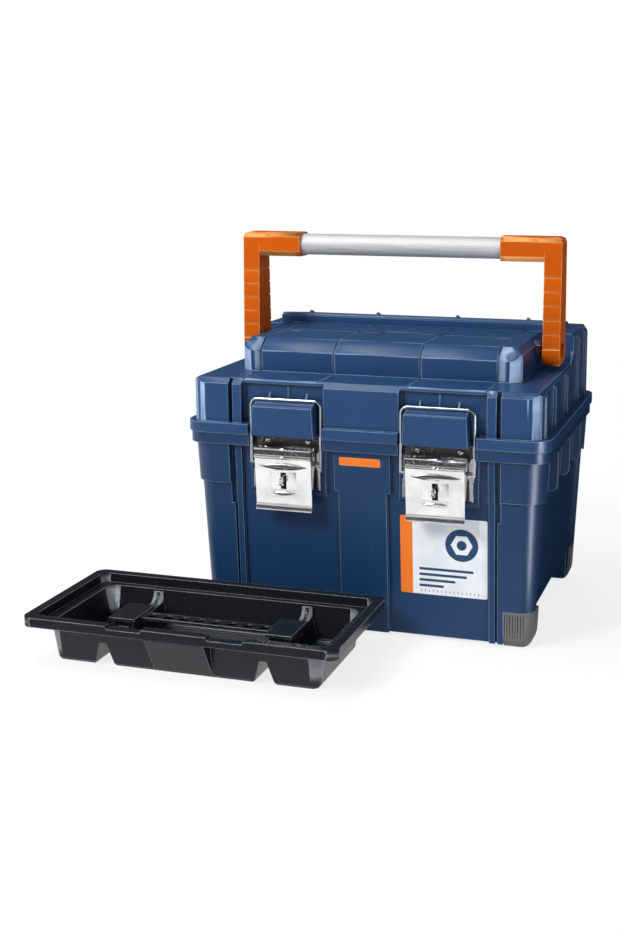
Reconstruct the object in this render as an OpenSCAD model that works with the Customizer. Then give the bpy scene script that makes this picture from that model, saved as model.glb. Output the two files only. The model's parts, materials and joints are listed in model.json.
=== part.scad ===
// Plastic tool box: drafted box, hinged lid with a fold-down carrying handle,
// two draw latches with padlock staples, four corner feet and a lift-out tray.
// Millimetres, +Z up, front towards -Y, origin on the floor under the middle of the box.

/* [Box] */
// Width over the rim
box_w = 450; // [420:1:480]
// Depth over the rim
box_d = 350; // [325:1:375]
// Height of the seam between box and lid
seam_z = 242; // [220:1:255]
// Height of each half of the rim
rim_h = 13.5; // [11:0.5:16]
// Corner radius of the rim
rim_r = 25; // [18:1:30]
// How far the box half of the rim sits back behind the lid half
rim_step = 2.5; // [1:0.5:4]
// Corner radius of the box at the floor
base_r = 14.5; // [13:0.5:20]
// How far the rim stands out from the wall under it
rim_out = 8; // [6:0.5:10]
// Draft of the box walls in degrees
draft = 3; // [1.5:0.25:4]
// Wall thickness of the mouldings
wall = 4; // [3:0.25:5]
// How far the panels sit back behind the columns
panel_step = 5; // [3:0.5:6]
// How far the upper columns stand out
upper_step = 3.5; // [2:0.5:5]
// Width of a corner column seen from the front, from the rim end
col_w = 57.5; // [50:0.5:64]
// Width of a corner column seen from the side, from the rim end
col_d = 33; // [28:1:45]
// Height of the step in the columns
step_z = 179; // [155:1:192]
// Half width of the middle pilaster
pil_w = 35; // [30:0.5:38]
// Spacing of the fins and ribs on the sides
fin_pitch = 85; // [70:1:95]
// Thickness of a side fin
fin_t = 6; // [4:0.5:9]
// Height of the tray ledges inside
ledge_z = 167; // [140:1:182]
// How far a tray ledge reaches in
ledge_w = 20; // [14:0.5:22]

/* [Feet] */
// Height of a corner foot
foot_h = 45; // [30:1:54]
// Length of a corner foot along each side
foot_l = 36; // [28:1:44]
// Thickness of a foot wall
foot_t = 4; // [3:0.25:5]
// Thickness of the pad under the box corner
foot_pad = 4; // [1.5:0.25:6]
// Number of grooves on each side of a foot
foot_grooves = 9; // [4:1:12]
// How far the lower edge of a foot is rounded in
foot_round = 12; // [6:0.5:12]
// Height of the rounding at the lower edge of a foot
foot_curl = 20; // [12:1:26]
// Height of the hand hold under each side
grip_h = 51; // [38:1:62]
// Depth of the hand hold under each side
grip_in = 30; // [22:1:36]

/* [Lid] */
// Height of the deck of the lid over the seam
deck_z = 67; // [55:1:80]
// Height of the hump over the deck
hump_z = 40; // [34:1:50]
// Height of the rear block over the deck
rear_z = 53.5; // [44:0.5:60]
// Half width of the hump
hump_w = 177; // [160:1:184]
// Front of the hump, from the middle
hump_front = 105; // [85:1:107]
// Half width of the raised part of the rear block
rear_w = 188; // [176:1:200]
// How far the top of the rear block falls to the back
rear_fall = 13; // [6:0.5:18]
// Height of the shoulders beside the rear block over the deck
shoulder_z = 38; // [30:1:44]
// Front of the rear block, from the middle
rear_front = 62; // [50:1:80]
// Bevel on the lid edges
bevel = 8; // [5:0.5:10]
// Depth of the grooves over the lid
groove_d = 1.6; // [0.8:0.1:2.4]
// Width of the grooves over the lid
groove_w = 3.2; // [2:0.2:5]

/* [Handle] */
// Height of the handle pivots over the deck
pivot_z = 26; // [22:0.5:32]
// Gap between the hump and an arm
arm_gap = 9.5; // [3:0.5:12]
// Distance from pivot to tube
arm_l = 124.5; // [121:0.5:135]
// Width of an arm
arm_w = 22; // [16:0.5:22.5]
// Depth of an arm at the pivot
arm_d = 42; // [34:0.5:44]
// Diameter of the tube
tube_d = 27; // [22:0.5:28]
// Wall of the tube
tube_wall = 2; // [1:0.25:4]
// Wall of the sleeves around the tube
sleeve_wall = 2; // [1.5:0.25:2.5]
// How far a sleeve reaches in from the outside of the arm
sleeve_l = 77; // [60:1:95]
// Diameter of the pivot pins
pivot_d = 10; // [7:0.5:13]

/* [Latches] */
// Distance of each latch from the middle
latch_x = 93.5; // [90:0.5:97]
// Width of a striker pad
pad_w = 79; // [72:0.5:82]
// Height of a striker pad
pad_h = 41; // [36:0.5:46]
// Diameter of the bail wire
wire_d = 3.6; // [2.8:0.1:4]
// Sheet thickness of the latch parts
sheet = 1.5; // [1:0.1:1.8]
// Length of a lever from its pin to its lower edge
lever_l = 70; // [62:1:76]
// Diameter of the lever pins
pin_d = 4; // [3:0.25:5]
// Hole of the padlock staple
staple_hole = 6.4; // [5:0.2:7.5]

/* [Tray] */
// Length of the tray over its lip
tray_l = 380; // [372:1:392]
// Depth of the tray over its lip
tray_w = 184; // [170:1:210]
// Height of the tray
tray_h = 57; // [46:1:60]
// Wall thickness of the tray
tray_wall = 2.5; // [1.5:0.25:3.5]
// Number of rings in the tray's tool bar
bar_rings = 8; // [5:1:9]

/* [Hidden] */

navy = [0.10, 0.18, 0.36];
orange = [0.85, 0.36, 0.03];
grey = [0.30, 0.31, 0.31];
metal = [0.78, 0.79, 0.80];
black = [0.08, 0.08, 0.09];

// Fits
seam_gap = 0.4;
run_fit = 0.05;
face_gap = 0.35;
eps = 0.01;
big = 600;
round_in = 1 - sin(45);

// Feet
foot_groove = 1.2;
foot_groove_d = 1.6;
foot_margin = 3;

// Box
body_z = foot_pad;
foot_seat_z = body_z + wall / 2;
rim_z = seam_z - rim_h;
half_w = box_w / 2 - rim_out;
half_d = box_d / 2 - rim_out;
corner_r = base_r + seam_z * tan(draft);
core_x = half_w - corner_r;
core_y = half_d - corner_r;
col_x = box_w / 2 - col_w;
col_y = box_d / 2 - col_d;
slit_drop = 25;
slit_z = step_z - slit_drop;
slit_w = 4;
rib_gap = 2.5;
rib_w = 7.5;
rib_more = 1;
rib_x1 = col_x - slit_w - rib_gap;
rib_x0 = rib_x1 - rib_w;
pil_step = 5;
floor_z = body_z + wall;
ledge_end = 8;
ledge_web = 4;
ledge_toe = 3;
fin_y = [-fin_pitch, 0, fin_pitch];
fin_in = 1.5;
fin_toe = 2;
fin_cut = 6;
grip_end = 28;
grip_l = box_d / 2 - foot_l - grip_end;
grip_reach = 40;
grip_under = 10;

// Hinge
hinge_out = 1.5;
hinge_in = 105;
hinge_y = box_d / 2 + hinge_out;
hinge_x = box_w / 2 - hinge_in;
knuckle_r = 5.5;
rod_r = 3;
knuckle_l = 20;
knuckle_mid = 29;
hinge_clear = 7;

// Lid
lid_z = seam_z + seam_gap / 2;
deck_top = seam_z + deck_z;
hump_top = deck_top + hump_z;
rear_top = deck_top + rear_z;
skirt_z = seam_z + rim_h;
lid_r = 20;
lid_hw = half_w;
lid_out = 2;
lid_hd = half_d + lid_out;
recess_d = 17;
recess_y = -(box_d / 2 - recess_d);
lid_rib_w = 16.5;
lid_rib_x0 = col_x - lid_rib_w;
groove_end = 27;
groove_out = hump_w - groove_end;
groove_in = 55;
groove_x = [-groove_out, -groove_in, groove_in, groove_out];
hump_r = 14;
hump_root = 30;
hump_edge_d = 19;
hump_edge_h = 14.5;
facet_d = 9;
facet_h = 9;
end_bevel = 8;
top_edge = 5;
shoulder_top = deck_top + shoulder_z;
shoulder_r = 16;
pocket_d = 4;
seam_line_y = -12;
seam_line_w = 2.6;
top_panel_l = 50;
top_panel_w = 40;
top_panel_y = -32;
top_slot_x = 137;
top_slot_l = 16;
top_slot_w = 5;
top_slot_y = -24;
top_fin_t = 3;
top_fin_h = 1.6;
bevel_h = 6.4;
corner_curl = lid_r * round_in;
tongue_gap = 1.2;
tongue_h = 5.5;
tongue_t = 3;
tongue_top = 4;
tongue_r = 15;

// Handle
pivot_h = deck_top + pivot_z;
arm_in = hump_w + arm_gap;
sleeve_round = 7;
arm_round = 7;
arm_taper = 8;
arm_rows = 6;
row_up = 3;
row_top = 4;
row_h = 1.3;
row_d = 0.8;
line_up = 12;
line_cut = 34;
line_w = 1.4;
sleeve_end = 4;
arm_out = arm_in + arm_w;
tube_z = pivot_h + arm_l;
tube_r = tube_d / 2;
sleeve_r = tube_r + sleeve_wall;
pivot_r = pivot_d / 2;
boss_wall = 5.5;
boss_in = 8;
pin_in = 6;
head_t = 2.2;
head_over = 3.5;

// Latches
seat_d = 12.5;
seat_h = 72;
seat_edge = 4;
seat_t = 14;
rim_cut = 30;
seat_y = -(box_d / 2 - seat_d);
plate_y = seat_y - sheet;
plate_more = 6;
lever_less = 8;
plate_w = pad_w + plate_more;
lever_w = pad_w - lever_less;
wire_r = wire_d / 2;
leg_gap = 2.7;
gap_clear = 1.2;
pad_lift = 1.3;
leg_x = pad_w / 2 + leg_gap + wire_r;
gap_hw = leg_x + wire_r + gap_clear;
pad_z0 = lid_z + pad_lift;
pad_z1 = pad_z0 + pad_h;
pad_rib_x = 23.5;
pad_taper = 2.5;
pad_proud = 25.5;
pad_y = recess_y - pad_proud;
pin_r = pin_d / 2;
lug_wall = 2.2;
lug_r = pin_r + lug_wall;
lug_foot = 6;
lug_rise = 0.5;
lug_in = 4.5;
plate_h = 62;
plate_drop = 64;
tab_h = 22;
tab_d = 4;
pin_out = 11;
pin_drop = 18;
pin_y = plate_y - pin_out;
pin_z = seam_z - pin_drop;
lever_tilt = 4;
eye_dy = 3;
eye_dz = -15;
eye_y = pin_y + eye_dy * cos(lever_tilt) - eye_dz * sin(lever_tilt);
eye_z = pin_z + eye_dy * sin(lever_tilt) + eye_dz * cos(lever_tilt);
bar_in = 14;
bar_y = pad_y + bar_in;
bar_z = pad_z1 + face_gap + wire_r;
bail_r = 8;
staple_drop = 33;
staple_z = pin_z - staple_drop;
staple_t = 3.2;
staple_wall = 2.2;
slot_clear = 4;
slot_over = 4.6;
slot_under = 5.1;
staple_r = staple_hole / 2 + staple_wall;
slot_w = staple_t + slot_clear;
slot_top = staple_drop - staple_r - slot_over;
slot_low = staple_drop + staple_r + slot_under;
boss_w = 10;
boss_drop = 15.5;
boss_h = 8.5;
mark_w = 28;
mark_h = 5;
mark_gap = 5;
mark_drop = slot_low + mark_gap;
press_w = 33;
press_d = 0.6;
press_edge = 1;
boss_proud = 1.1;
staple_out = 7.1;
staple_y = pin_y - staple_out - staple_hole / 2;
rivet_r = 3.2;
rivet_in = 5;
rivet_x = 25.5;
rivet_drop = 6.5;
rivet_over = 0.4;
pin_head_t = 1.2;
pin_head_over = 1.3;
bail_hook = 1.2;
lever_out = 6;
lever_top = 6.5;
roll_r = 2;
roll_z = 5.2;
roll_out = 0.9;
bead_z = -4.5;
bead_out = 0.3;
toe_out = 3.2;
toe_up = 9;
toe_in_up = 8.4;
cheek_top = 6;
cheek_step = 1;
cheek_in = 3;
cheek_back = 6.5;
cheek_deep = 6.8;
cheek_eye = 4;
cheek_under = 8;
cheek_toe = 2;
cheek_end = 20;

// Tray, standing on the floor in front of the left half of the box
tray_x = -155.5;
tray_gap = 0.5;
tray_y = -(box_d / 2 + tray_gap + tray_w / 2);
lip_h = 11;
lip_r = 13;
collar_in = 9.5;
collar_h = 14;
collar_hl = tray_l / 2 - collar_in;
collar_hw = tray_w / 2 - collar_in;
tub_in_l = 30;
tub_in_w = 25;
tub_hl = tray_l / 2 - tub_in_l;
tub_hw = tray_w / 2 - tub_in_w;
tub_round = 9;
tub_flare = 9;
tub_low = 4;
channel_x = 97.5;
channel_w = 22.5;
channel_top_w = 8;
channel_z = 28;
bridge_l = 33;
bridge_d = 53;
bridge_z = 42;
bridge_t = 4;
bridge_over = 4;
bar_w = 18;
bar_t = 3.5;
ring_web = 7;
fillet_r = 14;
fillet_w = 13;
apron_hw = 36;
dip_in = 41;
dip_out = 81;
dip_d = 3.5;
gusset_x = [57, 150];
gusset_y = 46;
gusset_h = 10;
gusset_t = 2.4;
gusset_in = 3;
cross_l = 62;
cross_t = 1.8;
cross_turn = 38;

// Shared shapes
module rounded_rect(w, d, r) {
    square([w - 2 * r, d], center = true);
    square([w, d - 2 * r], center = true);
    for (sx = [-1, 1], sy = [-1, 1])
        translate([sx * (w / 2 - r), sy * (d / 2 - r)])
            circle(r = r, $fn = 64);
}

// Drafted box with rounded corners between two heights, grown by off
module tub(z0, z1, off) {
    hull()
        for (sx = [-1, 1], sy = [-1, 1])
            translate([sx * core_x, sy * core_y, z0])
                cylinder(h = z1 - z0, r1 = tub_r(z0) + off, r2 = tub_r(z1) + off, $fn = 64);
}
function tub_r(z) = corner_r - (seam_z - z) * tan(draft);
function wall_x(z) = core_x + tub_r(z);
function wall_y(z) = core_y + tub_r(z);

// Four blocks outside |x| > x0 and |y| > y0
module corner_blocks(x0, y0, z0, z1) {
    for (sx = [-1, 1], sy = [-1, 1])
        translate([sx > 0 ? x0 : -x0 - big, sy > 0 ? y0 : -y0 - big, z0])
            cube([big, big, z1 - z0]);
}

// Bar along x, r its radius, from x0 to x1
module rod_x(x0, x1, r) {
    translate([x0, 0, 0])
        rotate([0, 90, 0])
            cylinder(h = x1 - x0, r = r, $fn = 48);
}

// Profile in y and z carried from x0 to x1
module along_x(x0, x1) {
    translate([x0, 0, 0])
        rotate([90, 0, 90])
            linear_extrude(height = x1 - x0)
                children();
}

// Profile in x and z carried from y0 to y1
module along_y(y0, y1) {
    translate([0, y1, 0])
        rotate([90, 0, 0])
            linear_extrude(height = y1 - y0)
                children();
}

// Box
module raised_bands() {
    corner_blocks(col_x - slit_w, col_y, body_z, slit_z);
    corner_blocks(col_x, col_y, slit_z - eps, rim_z + 1);
    for (sx = [-1, 1])
        translate([sx * (rib_x0 + rib_x1) / 2 - rib_w / 2, -big / 2, body_z])
            cube([rib_w, big, rim_z + 1 - body_z]);
    for (sx = [-1, 1])
        translate([sx * (rib_x0 - rib_more + rib_x1) / 2 - (rib_w + rib_more) / 2, -big / 2, step_z])
            cube([rib_w + rib_more, big, rim_z + 1 - step_z]);
    translate([-(pil_w - pil_step), -big / 2, body_z])
        cube([2 * (pil_w - pil_step), big, rim_z + 1 - body_z]);
    translate([-pil_w, -big / 2, step_z])
        cube([2 * pil_w, big, rim_z + 1 - step_z]);
}

module side_fins() {
    tip = box_w / 2 - rim_step - fin_in;
    root = wall_x(step_z) - panel_step - fin_toe;
    for (sx = [0, 1], y = fin_y)
        mirror([sx, 0, 0])
            along_y(y - fin_t / 2, y + fin_t / 2)
                polygon([[root, step_z - fin_toe], [tip - fin_cut, step_z - fin_toe],
                    [tip - fin_toe, step_z + 1], [tip, step_z + fin_cut], [tip, rim_z + 1],
                    [root, rim_z + 1]]);
}

// Hand hold: sloping cut under a side, moved in by grow to leave a wall above it
module grip_cut(grow) {
    x1 = wall_x(grip_h);
    slope = atan2(grip_h - body_z, grip_in);
    for (sx = [0, 1])
        mirror([sx, 0, 0])
            translate([-grow * sin(slope), 0, grow * cos(slope)])
                along_y(-grip_l - grow, grip_l + grow)
                    polygon([[x1 - grip_in - grip_under / tan(slope), body_z - grip_under],
                        [x1 + grip_reach, body_z - grip_under], [x1 + grip_reach, grip_h], [x1, grip_h]]);
}

module tray_ledges() {
    x1 = wall_x(ledge_z) - panel_step - wall;
    for (sx = [0, 1])
        mirror([sx, 0, 0]) {
            translate([x1 - ledge_w, -col_y + ledge_end, ledge_z])
                cube([ledge_w + 2, 2 * (col_y - ledge_end), wall]);
            for (y = fin_y)
                along_y(y - ledge_web / 2, y + ledge_web / 2)
                    polygon([[x1 - ledge_w + ledge_toe, ledge_z + eps], [x1 + 1, ledge_z - ledge_w],
                        [x1 + 1, ledge_z + eps]]);
        }
}

module hinge_place() {
    for (sx = [-1, 1])
        translate([sx * hinge_x, hinge_y, seam_z])
            children();
}

module body_knuckles() {
    for (sx = [0, 1])
        mirror([sx, 0, 0])
            translate([knuckle_mid / 2 + face_gap, 0, 0]) {
                rod_x(0, knuckle_l, knuckle_r);
                translate([0, -knuckle_r, -rim_h + 2])
                    cube([knuckle_l, knuckle_r, rim_h - 2]);
                along_x(0, knuckle_l)
                    polygon([[-1, -rim_h + 2], [knuckle_r, -knuckle_r + 2], [knuckle_r, 0], [-1, 0]]);
            }
}

module latch_place() {
    for (sx = [-1, 1])
        translate([sx * latch_x, 0, 0])
            children();
}

module latch_seat() {
    z0 = seam_z - seat_h;
    along_x(-gap_hw - 1, gap_hw + 1)
        polygon([[seat_y, z0 + seat_edge], [seat_y + seat_edge, z0], [seat_y + seat_t, z0],
            [seat_y + seat_t, seam_z - seam_gap / 2], [seat_y, seam_z - seam_gap / 2]]);
}

module body_cavity() {
    difference() {
        tub(floor_z, seam_z + 1, -panel_step - wall);
        grip_cut(wall);
    }
    intersection() {
        tub(foot_h + wall, seam_z + 1, -wall);
        union() {
            corner_blocks(col_x + wall, col_y + wall, foot_h + wall, seam_z + 1);
            translate([-(pil_w - pil_step - wall), -big / 2, foot_h])
                cube([2 * (pil_w - pil_step - wall), big, big]);
        }
    }
}

module body_shell() {
    color(navy)
    difference() {
        union() {
            difference() {
                union() {
                    difference() {
                        union() {
                            tub(body_z, rim_z + 1, -panel_step);
                            intersection() {
                                tub(body_z, rim_z + 1, 0);
                                raised_bands();
                            }
                            intersection() {
                                tub(step_z, rim_z + 1, upper_step);
                                corner_blocks(col_x, col_y, step_z, rim_z + 1);
                            }
                            side_fins();
                        }
                        difference() {
                            corner_blocks(foot_x(), foot_y(), -1, foot_h);
                            curled_core(-foot_t, foot_seat_z, foot_h + 1);
                        }
                        grip_cut(0);
                    }
                    translate([0, 0, rim_z])
                        linear_extrude(height = rim_h - seam_gap / 2)
                            rounded_rect(box_w - 2 * rim_step, box_d - 2 * rim_step, rim_r - rim_step);
                }
                latch_place()
                    translate([-gap_hw, -box_d / 2 - 2, rim_z - rim_cut])
                        cube([2 * gap_hw, box_d / 2 + 2 + seat_y, big]);
                hinge_place()
                    translate([-knuckle_mid / 2 - face_gap, -hinge_clear, -hinge_clear])
                        cube([knuckle_mid + 2 * face_gap, big, big]);
            }
            latch_place() latch_seat();
            hinge_place() body_knuckles();
        }
        difference() {
            body_cavity();
            tray_ledges();
        }
        hinge_place() rod_x(-hinge_x, hinge_x, rod_r);
        rivet_holes();
    }
}

// Feet
function foot_x() = wall_x(foot_h) - foot_l;
function foot_y() = wall_y(foot_h) - foot_l;

// Drafted box between two heights, grown by off, with its lower edge curled in
module curled_core(off, z0, z1) {
    a0 = acos(1 - z0 / foot_curl);
    r1 = tub_r(foot_curl) + off;
    arc = [for (k = [0 : 6]) a0 + (90 - a0) * k / 6];
    hull()
        for (sx = [-1, 1], sy = [-1, 1])
            translate([sx * core_x, sy * core_y, 0])
                rotate_extrude($fn = 48)
                    polygon(concat([[0, z0]],
                        [for (a = arc) [r1 - foot_round * (1 - sin(a)), foot_curl * (1 - cos(a))]],
                        [[tub_r(z1) + off, z1], [0, z1]]));
}

module foot(sx, sy) {
    groove_l = foot_l - base_r / 2;
    pitch = groove_l / foot_grooves;
    color(grey)
    difference() {
        intersection() {
            curled_core(0, 0, foot_h);
            translate([sx > 0 ? foot_x() : -foot_x() - big, sy > 0 ? foot_y() : -foot_y() - big, 0])
                cube([big, big, foot_h]);
        }
        curled_core(-foot_t, foot_seat_z, foot_h + 1);
        for (k = [0 : foot_grooves - 1]) {
            translate([sx * (foot_x() + (k + 0.5) * pitch) - foot_groove / 2,
                    sy * wall_y(foot_h / 2) - foot_groove_d, foot_margin])
                cube([foot_groove, 2 * foot_groove_d, foot_h - 2 * foot_margin]);
            translate([sx * wall_x(foot_h / 2) - foot_groove_d,
                    sy * (foot_y() + (k + 0.5) * pitch) - foot_groove / 2, foot_margin])
                cube([2 * foot_groove_d, foot_groove, foot_h - 2 * foot_margin]);
        }
    }
}
module foot_front_left() { foot(-1, -1); }
module foot_front_right() { foot(1, -1); }
module foot_rear_left() { foot(-1, 1); }
module foot_rear_right() { foot(1, 1); }

// Hinge rods
module hinge_rod(sx) {
    reach = knuckle_mid / 2 + face_gap + knuckle_l;
    color(metal)
    translate([sx * hinge_x, hinge_y, seam_z])
        rod_x(-reach + 1, reach - 1, rod_r);
}
module hinge_rod_left() { hinge_rod(-1); }
module hinge_rod_right() { hinge_rod(1); }

// Lid
function block_z(y) = rear_top - rear_fall * (y - rear_front) / (lid_hd - rear_front);

module lid_wall() {
    curl = top_edge * round_in;
    intersection() {
        translate([0, 0, lid_z])
            linear_extrude(height = rear_top)
                rounded_rect(2 * lid_hw, 2 * lid_hd, lid_r);
        along_x(-lid_hw, lid_hw)
            polygon([[-lid_hd, lid_z], [lid_hd, lid_z], [lid_hd, block_z(lid_hd) - top_edge],
                [lid_hd - top_edge, block_z(lid_hd - top_edge)],
                [rear_front + top_edge, block_z(rear_front + top_edge)],
                [rear_front + curl, rear_top - curl], [rear_front, rear_top - top_edge],
                [rear_front, deck_top], [-lid_hd + bevel, deck_top], [-lid_hd, deck_top - bevel_h]]);
        union() {
            along_y(-lid_hd, lid_hd)
                polygon([[-lid_hw, lid_z], [lid_hw, lid_z], [lid_hw, deck_top - bevel_h],
                    [lid_hw - bevel, deck_top], [-lid_hw + bevel, deck_top], [-lid_hw, deck_top - bevel_h]]);
            along_y(rear_front, lid_hd)
                polygon([[-lid_hw, lid_z], [lid_hw, lid_z], [lid_hw, shoulder_top - bevel],
                    [lid_hw - bevel, shoulder_top], [-lid_hw + bevel, shoulder_top],
                    [-lid_hw, shoulder_top - bevel]]);
            along_y(rear_front, lid_hd)
                polygon([[-rear_w, lid_z], [rear_w, lid_z], [rear_w, rear_top - top_edge],
                    [rear_w - curl, rear_top - curl], [rear_w - top_edge, rear_top],
                    [-rear_w + top_edge, rear_top], [-rear_w + curl, rear_top - curl],
                    [-rear_w, rear_top - top_edge]]);
        }
    }
}

// Hump profile, shrunk by d on its front and top
module hump_profile(d) {
    polygon([[-hump_front + d, lid_z + hump_root], [-hump_front + d, hump_top - hump_edge_h],
        [-hump_front + facet_d + d, hump_top - hump_edge_h + facet_h - d],
        [-hump_front + hump_edge_d + d, hump_top - d],
        [rear_front + 2, hump_top - d], [rear_front + 2, lid_z + hump_root]]);
}

module hump() {
    edges = concat([-hump_w - groove_w / 2], groove_x, [hump_w + groove_w / 2]);
    intersection() {
        union() {
            along_x(-hump_w, hump_w) hump_profile(groove_d);
            for (k = [0 : len(edges) - 2])
                along_x(edges[k] + groove_w / 2, edges[k + 1] - groove_w / 2) hump_profile(0);
        }
        along_y(-hump_front, rear_front + 2)
            polygon([[-hump_w, lid_z], [hump_w, lid_z], [hump_w, hump_top - end_bevel],
                [hump_w - end_bevel, hump_top], [-hump_w + end_bevel, hump_top],
                [-hump_w, hump_top - end_bevel]]);
        hump_plan(0);
    }
}

// Outline of the hump from above with its front corners rounded, shrunk by d
module hump_plan(d) {
    back = rear_front + hump_r + 2;
    translate([0, (back - hump_front + d) / 2, lid_z])
        linear_extrude(height = big)
            rounded_rect(2 * (hump_w - d), back + hump_front - d, hump_r - d);
}

// Sloping shoulder between the deck and the rear block at each end
module rear_shoulders() {
    r = shoulder_r;
    for (sx = [0, 1])
        mirror([sx, 0, 0])
            difference() {
                translate([lid_hw - bevel, rear_front - r, deck_top - r])
                    cube([bevel, r + 4, 2 * r]);
                translate([0, rear_front - r, deck_top + r])
                    rod_x(lid_hw - bevel - 2, lid_hw + 2, r);
                along_y(rear_front - r - 1, rear_front + 5)
                    polygon([[lid_hw - 5, deck_top + r + 1], [lid_hw, deck_top - bevel],
                        [lid_hw + 2, deck_top - bevel], [lid_hw + 2, deck_top + r + 1]]);
            }
}

module lid_outside() {
    translate([0, 0, lid_z])
        linear_extrude(height = skirt_z - lid_z)
            rounded_rect(box_w, box_d, rim_r);
    lid_wall();
    hump();
    rear_shoulders();
    for (x = groove_x)
        along_x(x - top_fin_t / 2, x + top_fin_t / 2)
            polygon([[rear_front + 8, block_z(rear_front + 8) - 1], [rear_front + 13, rear_top + top_fin_h],
                [rear_front + 16, rear_top + top_fin_h], [rear_front + 28, block_z(rear_front + 28) - 1]]);
}

// Pockets between the ribs along the sides
module side_pockets() {
    stops = [-col_y, -fin_pitch, 0, fin_pitch, col_y];
    for (sx = [0, 1], k = [0 : 3])
        mirror([sx, 0, 0])
            translate([lid_hw - pocket_d, stops[k] + fin_t / 2, skirt_z])
                cube([big, stops[k + 1] - stops[k] - fin_t, big]);
}

// Latch recess in the front of the lid with the slit beside the corner block
module lid_recesses() {
    for (sx = [0, 1])
        mirror([sx, 0, 0]) {
            translate([latch_x - gap_hw, -box_d / 2 - 2, 0])
                cube([2 * gap_hw, box_d / 2 + 2 + recess_y, deck_top - 5]);
            translate([latch_x - gap_hw, -box_d / 2 - 2, skirt_z])
                cube([lid_rib_x0 - latch_x + gap_hw, box_d / 2 + 2 + recess_y, deck_top - 5 - skirt_z]);
            translate([col_x - slit_w - 1, -box_d / 2 - 2, skirt_z])
                cube([slit_w + 1, box_d / 2 + 2 + recess_y, big]);
            translate([latch_x - gap_hw, -lid_hd - 1, deck_top - 5 - eps])
                cube([lid_rib_x0 - latch_x + gap_hw, bevel - 1, big]);
        }
}

module striker_pad() {
    intersection() {
        along_x(-pad_w / 2, pad_w / 2)
            polygon([[recess_y + 1, pad_z0], [pad_y + 1.5, pad_z0], [pad_y, pad_z0 + 1.5],
                [pad_y, pad_z1 - 5.5], [pad_y + 2, pad_z1 - 3.2], [bar_y - 2.2, pad_z1],
                [recess_y + 1, pad_z1]]);
        along_y(pad_y - 1, recess_y + 1)
            polygon([[-pad_w / 2, pad_z0], [pad_w / 2, pad_z0], [pad_w / 2 - pad_taper, pad_z1],
                [-pad_w / 2 + pad_taper, pad_z1]]);
    }
    for (x = [-pad_rib_x, pad_rib_x])
        along_x(x - 1, x + 1)
            polygon([[recess_y + 1, pad_z1 - 1], [recess_y - 6, pad_z1 - 1], [recess_y - 6, pad_z1 + 1],
                [recess_y, pad_z1 + 9], [recess_y + 1, pad_z1 + 9]]);
    translate([-1, recess_y - 2, pad_z1 - 1])
        cube([2, 3, deck_top - 6 - pad_z1]);
}

module lid_cavity() {
    inner_hw = lid_hw - pocket_d - wall;
    under = deck_top - 20;
    translate([0, (recess_y + lid_hd) / 2, 0])
        linear_extrude(height = deck_top - wall)
            rounded_rect(2 * inner_hw, lid_hd - 2 * wall - recess_y, 12);
    intersection() {
        along_x(-hump_w + wall, hump_w - wall)
            polygon([[-hump_front + wall + groove_d + 1, under],
                [-hump_front + wall + groove_d + 1, hump_top - hump_edge_h - wall / 2],
                [-hump_front + hump_edge_d + wall, hump_top - wall - groove_d],
                [rear_front + hump_r, hump_top - wall - groove_d], [rear_front + hump_r, under]]);
        hump_plan(wall);
    }
    along_x(-rear_w + wall, rear_w - wall)
        polygon([[rear_front + wall, under], [rear_front + wall, block_z(rear_front + wall) - wall - 2],
            [lid_hd - wall - 1, block_z(lid_hd) - wall - 2], [lid_hd - wall - 1, under]]);
    translate([-inner_hw, rear_front + wall, under])
        cube([2 * inner_hw, lid_hd - rear_front - 2 * wall - 1, shoulder_top - wall - under - bevel / 2]);
    for (sx = [0, 1])
        mirror([sx, 0, 0])
            translate([col_x + wall, -lid_hd + wall, 0])
                cube([lid_hw - corner_curl - 2 * wall - col_x, lid_hd, deck_top - bevel - wall]);
    translate([-pil_w + wall, -lid_hd + wall, 0])
        cube([2 * (pil_w - wall), lid_hd, deck_top - bevel - wall]);
}

// Tongue under the lid that drops inside the box
module lid_tongue() {
    w = 2 * (wall_x(seam_z) - panel_step - wall - tongue_gap);
    d = 2 * (wall_y(seam_z) - panel_step - wall - tongue_gap);
    translate([0, 0, seam_z - tongue_h])
        linear_extrude(height = tongue_h + tongue_top)
            difference() {
                rounded_rect(w, d, tongue_r);
                rounded_rect(w - 2 * tongue_t, d - 2 * tongue_t, tongue_r - tongue_t);
            }
    translate([0, 0, lid_z])
        linear_extrude(height = tongue_top)
            difference() {
                rounded_rect(w + 2 * tongue_top, d + 4 * tongue_top, tongue_r + tongue_t);
                rounded_rect(w - 2 * tongue_t, d - 2 * tongue_t, tongue_r - tongue_t);
            }
}

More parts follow.
